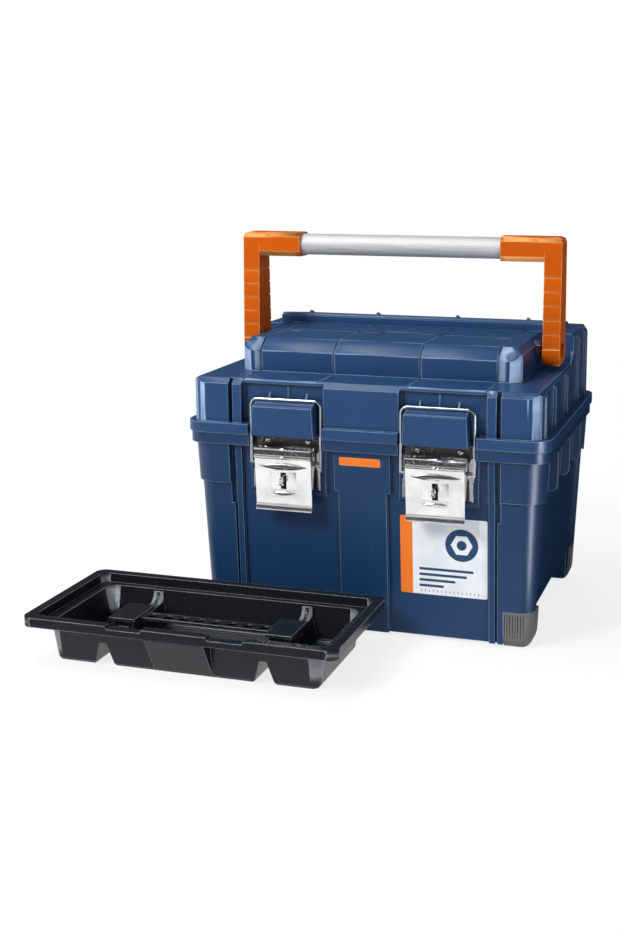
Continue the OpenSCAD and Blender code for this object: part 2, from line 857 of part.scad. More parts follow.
module lid_shell() {
    color(navy)
    difference() {
        union() {
            difference() {
                union() {
                    difference() {
                        lid_outside();
                        side_pockets();
                        lid_recesses();
                        for (x = groove_x)
                            translate([x - groove_w / 2, -lid_hd - 1, deck_top - groove_d])
                                cube([groove_w, lid_hd + 1 - hump_front, big]);
                        translate([-groove_out, seam_line_y, hump_top - groove_d])
                            cube([2 * groove_out, seam_line_w, big]);
                        translate([-top_panel_l / 2, top_panel_y, hump_top - groove_d])
                            cube([top_panel_l, top_panel_w, big]);
                        for (x = [-top_slot_x, top_slot_x])
                            translate([x - top_slot_l / 2, top_slot_y, hump_top - groove_d])
                                cube([top_slot_l, top_slot_w, big]);
                    }
                    latch_place() striker_pad();
                }
                lid_cavity();
            }
            lid_tongue();
            for (sx = [0, 1])
                mirror([sx, 0, 0])
                    translate([0, 0, pivot_h])
                        rod_x(hump_w - wall - boss_in, arm_in - face_gap, pivot_r + boss_wall);
            hinge_place() rod_x(-knuckle_mid / 2, knuckle_mid / 2, knuckle_r);
        }
        for (sx = [0, 1])
            mirror([sx, 0, 0])
                translate([0, 0, pivot_h])
                    rod_x(hump_w - wall - pin_in, arm_in, pivot_r);
        hinge_place() {
            rod_x(-knuckle_mid / 2 - 1, knuckle_mid / 2 + 1, rod_r + run_fit);
            for (sx = [0, 1])
                mirror([sx, 0, 0])
                    translate([knuckle_mid / 2, -hinge_clear, -rim_h])
                        cube([knuckle_l + 2 * face_gap + 0.6, big, rim_h + hinge_clear]);
        }
    }
}

// Handle pivot pins, fixed in the hump, with a flat head outside the arm
module pivot_pin(sx) {
    color(grey)
    mirror([sx, 0, 0])
        translate([0, 0, pivot_h]) {
            rod_x(hump_w - wall - pin_in, arm_out + face_gap, pivot_r);
            rod_x(arm_out + face_gap, arm_out + face_gap + head_t, pivot_r + head_over);
        }
}
module pivot_pin_left() { pivot_pin(1); }
module pivot_pin_right() { pivot_pin(0); }

// Handle
module handle_arm(sx) {
    top_d = arm_d - arm_taper;
    low = pivot_h - arm_d / 2;
    high = tube_z + sleeve_r;
    curl = arm_round * round_in;
    pitch = arm_pitch();
    color(orange)
    mirror([sx, 0, 0])
        difference() {
            union() {
                intersection() {
                    along_x(arm_in, arm_out)
                        union() {
                            translate([0, pivot_h]) circle(r = arm_d / 2, $fn = 64);
                            polygon([[-arm_d / 2, pivot_h], [arm_d / 2, pivot_h], [top_d / 2, tube_z],
                                [-top_d / 2, tube_z]]);
                            translate([0, tube_z]) rounded_rect(top_d, 2 * sleeve_r, sleeve_round);
                        }
                    along_y(-arm_d, arm_d)
                        polygon([[arm_in, high + 1], [arm_in, low + arm_round], [arm_in + curl, low + curl],
                            [arm_in + arm_round, low], [arm_out - arm_round, low],
                            [arm_out - curl, low + curl], [arm_out, low + arm_round],
                            [arm_out, high - arm_round], [arm_out - curl, high - curl],
                            [arm_out - arm_round, high], [arm_out - arm_round, high + 1]]);
                }
                along_x(arm_out - sleeve_l, arm_out - arm_round)
                    translate([0, tube_z]) rounded_rect(top_d, 2 * sleeve_r, sleeve_round);
            }
            translate([0, 0, tube_z])
                rod_x(arm_out - sleeve_l - 1, arm_out - sleeve_end, tube_r);
            translate([0, 0, pivot_h])
                rod_x(arm_in - 1, arm_out + 1, pivot_r + run_fit);
            for (k = [1 : arm_rows]) {
                z = pivot_h + row_up + (k - 1) * pitch;
                translate([arm_in - 1, -arm_d, z])
                    cube([arm_w + 2, arm_d - arm_edge(k) + row_d, row_h]);
                translate([arm_in - 1, arm_edge(k) - row_d, z])
                    cube([arm_w + 2, arm_d, row_h]);
                translate([arm_in - 1, -arm_d, z])
                    cube([1 + row_d, 2 * arm_d, row_h]);
            }
            translate([arm_in - 1, -line_w / 2, pivot_h + line_up])
                cube([1 + row_d, line_w, arm_l - sleeve_r - line_cut]);
        }
}
// Spacing of the arm's grooves, and the arm's half depth at groove k
function arm_pitch() = (arm_l - sleeve_r - row_top) / arm_rows;
function arm_edge(k) = arm_d / 2 - arm_taper / 2 * (row_up + (k - 1) * arm_pitch()) / arm_l;
module handle_arm_left() { handle_arm(1); }
module handle_arm_right() { handle_arm(0); }

module handle_tube() {
    color(metal)
    translate([0, 0, tube_z])
        difference() {
            rod_x(-arm_out + sleeve_end, arm_out - sleeve_end, tube_r);
            rod_x(-arm_out, arm_out, tube_r - tube_wall);
        }
}

// Latch parts, drawn about x = 0 and placed left or right
module latch_plate(sx) {
    color(metal)
    translate([sx * latch_x, 0, 0])
        difference() {
            union() {
                translate([-plate_w / 2, plate_y, seam_z - plate_drop])
                    cube([plate_w, sheet, plate_h]);
                for (m = [0, 1])
                    mirror([m, 0, 0]) {
                        along_x(lever_w / 2 - sheet - lug_in, lever_w / 2 - lug_in)
                            union() {
                                translate([pin_y, pin_z]) circle(r = lug_r, $fn = 48);
                                polygon([[pin_y, pin_z - lug_r], [plate_y + eps, pin_z - lug_r - lug_foot],
                                    [plate_y + eps, pin_z + lug_rise], [pin_y, pin_z + lug_r]]);
                            }
                        translate([plate_w / 2 - sheet, plate_y - tab_d, seam_z - plate_drop])
                            cube([sheet, tab_d + eps, tab_h]);
                    }
            }
            translate([0, pin_y, pin_z])
                rod_x(-lever_w, lever_w, pin_r);
            for (u = rivet_u())
                translate([u, 0, rivet_z()])
                    rotate([90, 0, 0])
                        cylinder(h = big, r = rivet_r / 2, $fn = 32);
        }
}
module latch_plate_left() { latch_plate(-1); }
module latch_plate_right() { latch_plate(1); }

function rivet_u() = [-rivet_x, rivet_x];
function rivet_z() = seam_z - rivet_drop;

module rivet_holes() {
    latch_place()
        for (u = rivet_u())
            translate([u, seat_y + rivet_in, rivet_z()])
                rotate([90, 0, 0])
                    cylinder(h = rivet_in + 1, r = rivet_r / 2, $fn = 32);
}

module rivet(sx, k) {
    color(metal)
    translate([sx * latch_x + rivet_u()[k], 0, rivet_z()]) {
        translate([0, seat_y + rivet_in, 0])
            rotate([90, 0, 0])
                cylinder(h = rivet_in + sheet + rivet_over, r = rivet_r / 2, $fn = 32);
        intersection() {
            translate([0, plate_y + rivet_r * 0.9, 0])
                sphere(r = rivet_r * 1.35, $fn = 48);
            translate([-10, plate_y - 10, -10])
                cube([20, 10, 20]);
        }
    }
}
module rivet_left_a() { rivet(-1, 0); }
module rivet_left_b() { rivet(-1, 1); }
module rivet_right_a() { rivet(1, 0); }
module rivet_right_b() { rivet(1, 1); }

module latch_pin(sx) {
    half = lever_w / 2 + face_gap;
    color(metal)
    translate([sx * latch_x, pin_y, pin_z]) {
        rod_x(-half, half, pin_r);
        for (m = [0, 1])
            mirror([m, 0, 0])
                rod_x(half, half + pin_head_t, pin_r + pin_head_over);
    }
}
module latch_pin_left() { latch_pin(-1); }
module latch_pin_right() { latch_pin(1); }

// Padlock staple standing on the plate, through the lever's slot
module staple(sx) {
    color(metal)
    translate([sx * latch_x, 0, 0])
        difference() {
            union() {
                translate([0, staple_y, staple_z])
                    rod_x(-staple_t / 2, staple_t / 2, staple_r);
                along_x(-staple_t / 2, staple_t / 2)
                    polygon([[plate_y, staple_z - staple_r - 1], [staple_y, staple_z - staple_r + 0.4],
                        [staple_y, staple_z + staple_r - 0.4], [plate_y, staple_z + staple_r + 1]]);
            }
            translate([0, staple_y, staple_z])
                rod_x(-staple_t, staple_t, staple_hole / 2);
        }
}
module staple_left() { staple(-1); }
module staple_right() { staple(1); }

// Flat lens, wide along x, standing on the lever's skin
module lever_boss(w, h, proud) {
    r = (w * w / 4 + h * h / 4) / h;
    rotate([90, 0, 0])
        linear_extrude(height = proud)
            intersection() {
                translate([0, h / 2 - r]) circle(r = r, $fn = 256);
                translate([0, r - h / 2]) circle(r = r, $fn = 256);
            }
}

module lever(sx) {
    y0 = -lever_out;
    y1 = y0 - sheet;
    color(metal)
    translate([sx * latch_x, pin_y, pin_z])
        rotate([lever_tilt, 0, 0])
            difference() {
                union() {
                    along_x(-lever_w / 2, lever_w / 2)
                        polygon([[y0, lever_top], [y1, lever_top], [y1, -lever_l + toe_up],
                            [y1 - toe_out, -lever_l], [y1 - toe_out + sheet, -lever_l],
                            [y0, -lever_l + toe_in_up]]);
                    for (b = [[y0 - roll_out, roll_z], [y1 - bead_out, bead_z]])
                        translate([0, b[0], b[1]])
                            rod_x(-lever_w / 2, lever_w / 2, roll_r);
                    for (m = [0, 1])
                        mirror([m, 0, 0])
                            along_x(lever_w / 2 - sheet, lever_w / 2)
                                polygon([[y0 - eps, cheek_top], [cheek_in, cheek_top],
                                    [cheek_back, cheek_step], [cheek_deep, eye_dz - cheek_eye],
                                    [cheek_in, eye_dz - cheek_under],
                                    [y0 + cheek_toe, -lever_l + cheek_end],
                                    [y0 - eps, -lever_l + cheek_end]]);
                    translate([0, y1 + eps, -boss_drop])
                        lever_boss(lever_w - boss_w, boss_h, boss_proud);
                    translate([0, y1 + eps, -mark_drop])
                        lever_boss(mark_w, mark_h, boss_proud);
                }
                translate([-slot_w / 2, y1 - 3, -slot_low])
                    cube([slot_w, sheet + 6, slot_low - slot_top]);
                translate([-press_w / 2, y1 - 3, -slot_low - press_edge])
                    cube([press_w, press_d + 3, slot_low - slot_top + 2 * press_edge]);
                rod_x(-lever_w, lever_w, pin_r + run_fit);
                translate([0, eye_dy, eye_dz])
                    rod_x(-lever_w, lever_w, wire_r + run_fit);
            }
}
module lever_left() { lever(-1); }
module lever_right() { lever(1); }

// Bail wire: top bar, two legs and the ends turned in through the lever
module bail(sx) {
    top = bar_z - eye_z;
    lean = atan2(eye_y - bar_y, top);
    run = sqrt(top * top + (bar_y - eye_y) * (bar_y - eye_y));
    color(metal)
    translate([sx * latch_x, eye_y, eye_z])
        rotate([lean, 0, 0]) {
            translate([0, 0, run])
                rod_x(-leg_x + bail_r, leg_x - bail_r, wire_r);
            for (m = [0, 1])
                mirror([m, 0, 0]) {
                    translate([leg_x - bail_r, 0, run - bail_r])
                        rotate([90, 0, 0])
                            rotate_extrude(angle = 90, $fn = 64)
                                translate([bail_r, 0]) circle(r = wire_r, $fn = 32);
                    translate([leg_x, 0, 0])
                        cylinder(h = run - bail_r, r = wire_r, $fn = 32);
                    translate([leg_x, 0, 0])
                        sphere(r = wire_r, $fn = 32);
                    rod_x(lever_w / 2 - sheet - bail_hook, leg_x, wire_r);
                }
        }
}
module bail_left() { bail(-1); }
module bail_right() { bail(1); }

// Tray
module tray_tub(z0, z1, off) {
    hull()
        for (sx = [-1, 1], sy = [-1, 1])
            translate([sx * (tub_hl - tub_round), sy * (tub_hw - tub_round), 0])
                rotate_extrude($fn = 48)
                    polygon([[0, z0], [tray_r(z0) + off - tub_low, z0],
                        [tray_r(z0) + off - tub_low * round_in, z0 + tub_low * round_in],
                        [tray_r(z0 + tub_low) + off, z0 + tub_low], [tray_r(z1) + off, z1], [0, z1]]);
}
function tray_r(z) = tub_round + tub_flare * z / tray_h;

// Channels across the underside, flared at the floor and narrow at the top, grown by grow
module tray_channels(grow) {
    for (sx = [-1, 1])
        translate([sx * channel_x, 0, 0])
            along_y(-tray_w, tray_w)
                polygon([[-channel_w / 2 - grow - tub_low, -1], [channel_w / 2 + grow + tub_low, -1],
                    [channel_w / 2 + grow, tub_low], [channel_top_w / 2 + grow, channel_z + grow],
                    [-channel_top_w / 2 - grow, channel_z + grow], [-channel_w / 2 - grow, tub_low]]);
}

// Hollow fillet from a channel's top up to the front or rear wall
module channel_fillets() {
    wall_at = tub_hw + tub_flare * channel_z / tray_h - tray_wall;
    top = channel_z + tray_wall;
    for (sx = [-1, 1], sy = [0, 1])
        mirror([0, sy, 0])
            translate([sx * channel_x, wall_at + 1 - fillet_r, top - 1])
                difference() {
                    translate([-fillet_w / 2, 0, 0])
                        cube([fillet_w, fillet_r, fillet_r]);
                    translate([0, 0, fillet_r])
                        rod_x(-fillet_w, fillet_w, fillet_r - 1);
                }
}

// Bridges over the channels and the ring bar between them
module tray_bridges() {
    bar_l = 2 * channel_x - bridge_l;
    pitch = bar_l / bar_rings;
    for (sx = [-1, 1])
        translate([sx * channel_x, 0, 0]) {
            translate([-bridge_l / 2, -bridge_d / 2, bridge_z - bridge_t])
                cube([bridge_l, bridge_d, bridge_t]);
            translate([-bridge_l / 2 + bridge_over, -bridge_d / 2 + bridge_over, channel_z])
                cube([bridge_l - 2 * bridge_over, bridge_d - 2 * bridge_over, bridge_z - channel_z - 1]);
        }
    difference() {
        translate([-bar_l / 2 - 1, -bar_w / 2, bridge_z - bridge_t - bar_t + 1])
            cube([bar_l + 2, bar_w, bar_t]);
        for (k = [0 : bar_rings - 1])
            translate([(k - (bar_rings - 1) / 2) * pitch, 0, channel_z])
                cylinder(h = bridge_z, r = (pitch - ring_web) / 2, $fn = 40);
    }
}

// Crossed ridges on the floors of the end pockets
module tray_crosses() {
    for (sx = [-1, 1], turn = [-cross_turn, cross_turn])
        translate([sx * (channel_x + tub_hl) / 2, 0, tray_wall - eps])
            rotate([0, 0, turn])
                translate([-cross_l / 2, -cross_t / 2, 0])
                    cube([cross_l, cross_t, cross_t]);
}

module tray_gussets() {
    low = tray_h - lip_h - gusset_h;
    for (x = gusset_x, sx = [0, 1], sy = [0, 1])
        mirror([sx, 0, 0])
            mirror([0, sy, 0])
                along_x(x - gusset_t / 2, x + gusset_t / 2)
                    polygon([[-tub_hw, low], [-tray_w / 2 + gusset_in, tray_h - lip_h + 1],
                        [-tub_hw, tray_h - lip_h + 1]]);
    for (y = [-gusset_y, gusset_y], sx = [0, 1])
        mirror([sx, 0, 0])
            along_y(y - gusset_t / 2, y + gusset_t / 2)
                polygon([[tub_hl, low], [tray_l / 2 - gusset_in, tray_h - lip_h + 1],
                    [tub_hl, tray_h - lip_h + 1]]);
}

// Dips in the front lip beside the apron
module lip_dips() {
    for (sx = [0, 1])
        mirror([sx, 0, 0])
            along_y(-tray_w, -collar_hw + tray_wall)
                polygon([[dip_in, tray_h - dip_d], [dip_out, tray_h - dip_d], [dip_out + dip_d, tray_h + 1],
                    [dip_in - dip_d, tray_h + 1]]);
}

module tray() {
    color(black)
    translate([tray_x, tray_y, 0])
        difference() {
            union() {
                difference() {
                    union() {
                        tray_tub(0, tray_h - 2, 0);
                        translate([0, 0, tray_h - collar_h])
                            linear_extrude(height = collar_h)
                                rounded_rect(2 * collar_hl, 2 * collar_hw, lip_r - 2);
                        translate([0, 0, tray_h - lip_h])
                            linear_extrude(height = lip_h)
                                rounded_rect(tray_l, tray_w, lip_r);
                        along_x(-apron_hw, apron_hw)
                            polygon([[-tray_w / 2, tray_h - 1], [-tray_w / 2, tray_h - lip_h],
                                [-tub_hw - 1, tub_low], [-tub_hw + 6, tub_low], [-tub_hw + 6, tray_h - 1]]);
                        tray_gussets();
                    }
                    difference() {
                        tray_tub(tray_wall, tray_h + 1, -tray_wall);
                        tray_channels(tray_wall);
                    }
                    translate([0, 0, tray_h - collar_h + tray_wall])
                        linear_extrude(height = collar_h)
                            rounded_rect(2 * (collar_hl - tray_wall), 2 * (collar_hw - tray_wall), lip_r - 4);
                    lip_dips();
                }
                channel_fillets();
                tray_bridges();
                tray_crosses();
            }
            tray_channels(0);
        }
}

body_shell();
foot_front_left();
foot_front_right();
foot_rear_left();
foot_rear_right();
hinge_rod_left();
hinge_rod_right();
latch_plate_left();
latch_plate_right();
latch_pin_left();
latch_pin_right();
staple_left();
staple_right();
rivet_left_a();
rivet_left_b();
rivet_right_a();
rivet_right_b();
lid_shell();
pivot_pin_left();
pivot_pin_right();
handle_arm_left();
handle_arm_right();
handle_tube();
lever_left();
lever_right();
bail_left();
bail_right();
tray();
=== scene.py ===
"""Looks of a plastic tool box: moulded box and lid, draw latches, folding handle and lift-out tray.

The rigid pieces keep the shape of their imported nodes. Each is shown as a copy with rounded edges,
because moulded and pressed edges catch the light, and gets a procedural finish of its own.
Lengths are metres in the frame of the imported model: +X right, +Y to the hinge, +Z up.
"""

import json
import logging
import math
from dataclasses import dataclass
from enum import Enum
from typing import Any, Mapping, Optional, Union

import bmesh
import bpy
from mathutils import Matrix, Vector
from mathutils.bvhtree import BVHTree


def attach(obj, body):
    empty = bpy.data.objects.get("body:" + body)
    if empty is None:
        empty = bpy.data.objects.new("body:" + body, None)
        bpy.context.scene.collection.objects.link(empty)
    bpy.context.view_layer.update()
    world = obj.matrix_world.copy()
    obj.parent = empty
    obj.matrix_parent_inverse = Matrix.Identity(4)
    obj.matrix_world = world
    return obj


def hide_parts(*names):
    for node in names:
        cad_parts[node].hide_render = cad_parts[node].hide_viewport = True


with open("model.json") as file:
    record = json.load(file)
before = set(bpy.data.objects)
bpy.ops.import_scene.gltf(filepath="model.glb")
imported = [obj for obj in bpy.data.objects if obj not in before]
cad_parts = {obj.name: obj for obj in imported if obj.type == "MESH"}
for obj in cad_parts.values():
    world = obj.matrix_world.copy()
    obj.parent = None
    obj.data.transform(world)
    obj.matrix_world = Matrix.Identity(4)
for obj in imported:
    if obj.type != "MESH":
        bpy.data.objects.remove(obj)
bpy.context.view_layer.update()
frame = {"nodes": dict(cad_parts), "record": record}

LOG = logging.getLogger("tool_box")
MM = 0.001
PHOTO_SIZE = (621, 931)
WELD = 0.001 * MM

Point = tuple[float, float, float]
Colour = tuple[float, float, float]
Number = Union["Field", float]
Tint = Union["Field", Colour]
Settings = Mapping[str, Any]
Inputs = Mapping[Union[str, int], Any]

WHITE: Colour = (1.0, 1.0, 1.0)
NAVY: Colour = (0.0090, 0.038, 0.108)
# The lid's navy is the box navy made about a third lighter: painted light, standing in for the lid catching
# more light.
LID_NAVY_LIT: Colour = (0.0120, 0.051, 0.144)
# Paler colours that the edges fade to: partly wear, partly a painted highlight of the light on rounded edges.
NAVY_WEAR_AND_HIGHLIGHT: Colour = (0.30, 0.42, 0.62)
ORANGE: Colour = (0.500, 0.084, 0.0008)
ORANGE_WEAR_AND_HIGHLIGHT: Colour = (0.92, 0.42, 0.14)
FOOT_GREY: Colour = (0.125, 0.125, 0.125)
FOOT_WEAR_AND_HIGHLIGHT: Colour = (0.30, 0.30, 0.30)
TRAY_BLACK: Colour = (0.009, 0.011, 0.015)
TRAY_WEAR_AND_HIGHLIGHT: Colour = (0.30, 0.32, 0.36)
CHROME: Colour = (0.86, 0.87, 0.88)
LEVER_CHROME: Colour = (0.93, 0.94, 0.95)
WIRE_GREY: Colour = (0.60, 0.61, 0.63)
PLATE_GREY: Colour = (0.55, 0.55, 0.55)
ROD_GREY: Colour = (0.55, 0.56, 0.57)
TUBE_GREY: Colour = (0.60, 0.60, 0.61)
# Dark grey painted as shade in the latch bands.
PAINTED_SHADE_GREY: Colour = (0.075, 0.070, 0.068)
BOSS_SHADE: Colour = (0.15, 0.16, 0.17)
PRINT_ORANGE: Colour = (0.83, 0.19, 0.02)
PRINT_NAVY: Colour = (0.010, 0.055, 0.140)
PRINT_GREY: Colour = (0.12, 0.13, 0.15)
PRINT_PALE: Colour = (0.80, 0.82, 0.85)
FILM_LIGHT: Colour = (0.80, 0.83, 0.87)
FILM_SMUDGED: Colour = (0.70, 0.74, 0.80)
FLOOR_DARK: Colour = (0.90, 0.90, 0.90)
FLOOR_LIGHT: Colour = (0.94, 0.94, 0.94)


class Side(Enum):
    """Left or right, seen from the latches."""

    LEFT = "left"
    RIGHT = "right"


class End(Enum):
    """The latch side or the hinge side of the box."""

    FRONT = "front"
    REAR = "rear"


def scaled(colour: Colour, share: float) -> Colour:
    """A colour made darker or lighter by a share."""
    red, green, blue = colour
    return share * red, share * green, share * blue


class Field:
    """A value that varies over a surface: one node socket with arithmetic."""

    def __init__(self, graph: "Graph", socket: bpy.types.NodeSocket) -> None:
        """Wraps a socket of the graph."""
        self.graph = graph
        self.socket = socket

    def __add__(self, other: Number) -> "Field":
        """Sum."""
        return self.graph.math("ADD", self, other)

    def __sub__(self, other: Number) -> "Field":
        """Difference."""
        return self.graph.math("SUBTRACT", self, other)

    def __rsub__(self, other: Number) -> "Field":
        """Difference with the field on the right."""
        return self.graph.math("SUBTRACT", other, self)

    def __mul__(self, other: Number) -> "Field":
        """Product."""
        return self.graph.math("MULTIPLY", self, other)

    def __truediv__(self, other: Number) -> "Field":
        """Quotient."""
        return self.graph.math("DIVIDE", self, other)

    def __rtruediv__(self, other: Number) -> "Field":
        """Quotient with the field on the right."""
        return self.graph.math("DIVIDE", other, self)

    def __pow__(self, other: Number) -> "Field":
        """Power."""
        return self.graph.math("POWER", self, other)

    def __rpow__(self, other: Number) -> "Field":
        """Power with the field as the exponent."""
        return self.graph.math("POWER", other, self)

    def __abs__(self) -> "Field":
        """The value without its sign."""
        return self.graph.node("ShaderNodeMath", {"operation": "ABSOLUTE"}, {0: self})

    __radd__ = __add__
    __rmul__ = __mul__

    def fraction(self) -> "Field":
        """The part of the value after the point."""
        return self.graph.node("ShaderNodeMath", {"operation": "FRACT"}, {0: self})

    def ramp(self, low: float, high: float) -> "Field":
        """Smooth step from 0 at low to 1 at high.

        Args:
            low: value that gives 0.
            high: value that gives 1, below low for a falling step.

        Returns:
            A field from 0 to 1.
        """
        settings = {"interpolation_type": "SMOOTHSTEP"}
        inputs = {"Value": self, "From Min": low, "From Max": high}
        return self.graph.node("ShaderNodeMapRange", settings, inputs)

    def within(self, low: float, high: float, soft: float) -> "Field":
        """1 between two values, with edges soft wide.

        Args:
            low: lower edge.
            high: upper edge.
            soft: width of each edge.

        Returns:
            A mask from 0 to 1.
        """
        rise = ((self - low) / soft).ramp(-0.5, 0.5)
        fall = ((high - self) / soft).ramp(-0.5, 0.5)
        return rise * fall

    def under(self, limit: float, soft: float) -> "Field":
        """1 below a limit and 0 above it, with an edge of soft to each side."""
        return self.ramp(limit + soft, limit - soft)


class Graph:
    """One node tree, to which expressions add nodes."""

    def __init__(self, tree: bpy.types.NodeTree) -> None:
        """Takes over a tree and empties it."""
        self.tree = tree
        tree.nodes.clear()

    def add(self, kind: str, settings: Optional[Settings] = None,
            inputs: Optional[Inputs] = None) -> bpy.types.Node:
        """Adds any node.

        Args:
            kind: the node's type.
            settings: its properties, set first.
            inputs: values or fields for its sockets.

        Returns:
            The new node.
        """
        new = self.tree.nodes.new(kind)
        for key, value in (settings or {}).items():
            setattr(new, key, value)
        for key, value in (inputs or {}).items():
            self.feed(new.inputs[key], value)
        return new

    def node(self, kind: str, settings: Optional[Settings] = None, inputs: Optional[Inputs] = None,
             output: Union[str, int] = 0) -> Field:
        """Adds any node, as add does, and gives one of its outputs as a field."""
        return Field(self, self.add(kind, settings, inputs).outputs[output])

    def feed(self, socket: bpy.types.NodeSocket, value: Any) -> None:
        """Links a field to a socket, or sets the socket to a plain value."""
        if isinstance(value, Field):
            self.tree.links.new(value.socket, socket)
        elif socket.type == "RGBA" and len(value) == 3:
            socket.default_value = (*value, 1.0)
        else:
            socket.default_value = value

    def math(self, operation: str, first: Number, second: Number) -> Field:
        """One Math node."""
        return self.node("ShaderNodeMath", {"operation": operation}, {0: first, 1: second})

    def mix(self, factor: Number, first: Tint, second: Tint) -> Field:
        """Blends two colours by a factor."""
        settings = {"data_type": "RGBA", "clamp_factor": True}
        return self.node("ShaderNodeMix", settings, {0: factor, 6: first, 7: second}, 2)

    def blend(self, factor: Number, first: Field, second: Field) -> Field:
        """Blends two surfaces or two backgrounds by a factor."""
        return self.node("ShaderNodeMixShader", None, {0: factor, 1: first, 2: second})

    def looked_at(self) -> Field:
        """1 where the camera, a mirror or glass looks, 0 where light is gathered."""
        rays = self.add("ShaderNodeLightPath").outputs
        camera = Field(self, rays["Is Camera Ray"])
        seen = camera + Field(self, rays["Is Glossy Ray"]) + Field(self, rays["Is Transmission Ray"])
        return self.math("MINIMUM", seen, 1.0)


class Shader(Graph):
    """One material's node tree, ending in a Principled BSDF."""

    def __init__(self, name: str) -> None:
        """Starts a material of that name."""
        self.material = bpy.data.materials.new(name)
        self.material.use_nodes = True
        super().__init__(self.material.node_tree)
        self.bsdf = self.add("ShaderNodeBsdfPrincipled")
        self.surface = Field(self, self.bsdf.outputs[0])
        self.output = self.add("ShaderNodeOutputMaterial", None, {"Surface": self.surface})

    def place(self) -> Field:
        """The point on the piece at rest, in metres."""
        return self.node("ShaderNodeTexCoord", output="Object")

    def stretched(self, scale: Point) -> Field:
        """The point on the piece, scaled along each axis."""
        inputs = {"Vector": self.place(), "Scale": scale}
        return self.node("ShaderNodeMapping", {"vector_type": "POINT"}, inputs)

    def axes(self) -> tuple[Field, Field, Field]:
        """The x, y and z of the point on the piece."""
        split = self.add("ShaderNodeSeparateXYZ", None, {0: self.place()})
        x, y, z = (Field(self, socket) for socket in split.outputs)
        return x, y, z

    def noise(self, scale: float, detail: float = 2.0, vector: Optional[Field] = None) -> Field:
        """Cloudy noise around 0.5.

        Args:
            scale: clouds per metre.
            detail: octaves of finer noise.
            vector: coordinates, the point on the piece if left out.

        Returns:
            The noise as a field.
        """
        source = self.place() if vector is None else vector
        return self.node("ShaderNodeTexNoise", None, {"Vector": source, "Scale": scale, "Detail": detail})

    def edges(self, width: float) -> Field:
        """Mask that is 1 on sharp and rounded edges.

        Args:
            width: how far the mask reaches from an edge.

        Returns:
            A mask from 0 to 1.
        """
        rounded = self.node("ShaderNodeBevel", {"samples": 4}, {"Radius": width})
        flat = self.node("ShaderNodeNewGeometry", output="True Normal")
        inputs = {0: rounded, 1: flat}
        match = self.node("ShaderNodeVectorMath", {"operation": "DOT_PRODUCT"}, inputs, "Value")
        return match.ramp(0.995, 0.90)

    def creases(self, reach: float) -> Field:
        """Mask that is 1 deep in a groove or an inner corner.

        Args:
            reach: how far the walls of a groove may lie.

        Returns:
            A mask from 0 to 1.
        """
        settings = {"samples": 4, "only_local": True}
        open_share = self.node("ShaderNodeAmbientOcclusion", settings, {"Distance": reach}, "AO")
        return open_share.ramp(0.95, 0.45)

    def finish(self, constants: Settings, varying: Mapping[str, Field], bump: Optional[Field] = None,
               depth: float = 0.0) -> bpy.types.Material:
        """Connects the surface.

        Args:
            constants: socket values that are the same all over.
            varying: fields for sockets that change over the surface.
            bump: height field for the normal, if any.
            depth: height of the bump in metres.

        Returns:
            The finished material.
        """
        for name, value in {**constants, **varying}.items():
            self.feed(self.bsdf.inputs[name], value)
        if bump is not None:
            inputs = {"Strength": 1.0, "Distance": depth, "Height": bump}
            self.feed(self.bsdf.inputs["Normal"], self.node("ShaderNodeBump", None, inputs))
        return self.material


@dataclass(frozen=True)
class MouldedPlastic:
    """Injection-moulded plastic with a fine grain, paler edges that are partly wear and partly a painted
    highlight, and painted shade in its grooves.
    """

    name: str
    colour: Colour
    pale: Colour
    roughness: float
    gloss: float = 0.20
    ior: float = 1.49
    grain_scale: float = 1500.0
    grain_depth: float = 0.05 * MM
    groove_reach: float = 6.0 * MM
    groove_shade: float = 0.45
    edge_reach: float = 1.3 * MM
    edge_wear_and_highlight: float = 0.85
    scuff_share: float = 0.02

    def material(self) -> bpy.types.Material:
        """Builds the material."""
        shader = Shader(self.name)
        clouds = shader.noise(scale=9.0, detail=3.0)
        flow = shader.noise(scale=5.0, vector=shader.stretched((1.0, 1.0, 6.0)))
        smudge = shader.noise(scale=38.0, detail=4.0)
        grain = shader.noise(self.grain_scale)
        along = shader.stretched((1.0, 1.0, 0.08))
        scuffs = shader.noise(scale=260.0, detail=3.0, vector=along).ramp(0.66, 0.74)
        crease = shader.creases(self.groove_reach)
        # Paler edges: partly wear, partly a painted highlight of the light on rounded edges.
        rubbed_and_highlit = shader.edges(self.edge_reach) * (0.5 + smudge * 0.9) * (1.0 - crease)
        tone = (clouds - 0.5) * 0.30 + (flow - 0.5) * 0.22
        base = shader.mix((tone + 0.5).ramp(0.25, 0.75), scaled(self.colour, 0.88), scaled(self.colour, 1.14))
        # Painted shade: the colour darkens towards 0.3 of itself deep in grooves and inner corners.
        shaded = shader.mix(crease * self.groove_shade, base, scaled(self.colour, 0.30))
        worn_and_highlit = shader.mix(rubbed_and_highlit * self.edge_wear_and_highlight, shaded, self.pale)
        scuffed = shader.mix(scuffs * self.scuff_share, worn_and_highlit, self.pale)
        rough = self.roughness + (smudge - 0.5) * 0.10 + scuffs * 0.04 - rubbed_and_highlit * 0.06
        constants = {"IOR": self.ior, "Specular IOR Level": self.gloss}
        height = grain * 0.7 + smudge * 0.3
        return shader.finish(constants, {"Base Color": scuffed, "Roughness": rough}, height, self.grain_depth)


@dataclass(frozen=True)
class Band:
    """A stretch between two heights of the model, painted darker as shade."""

    low: float
    high: float
    colour: Colour = PAINTED_SHADE_GREY
    soft: float = 1.2 * MM


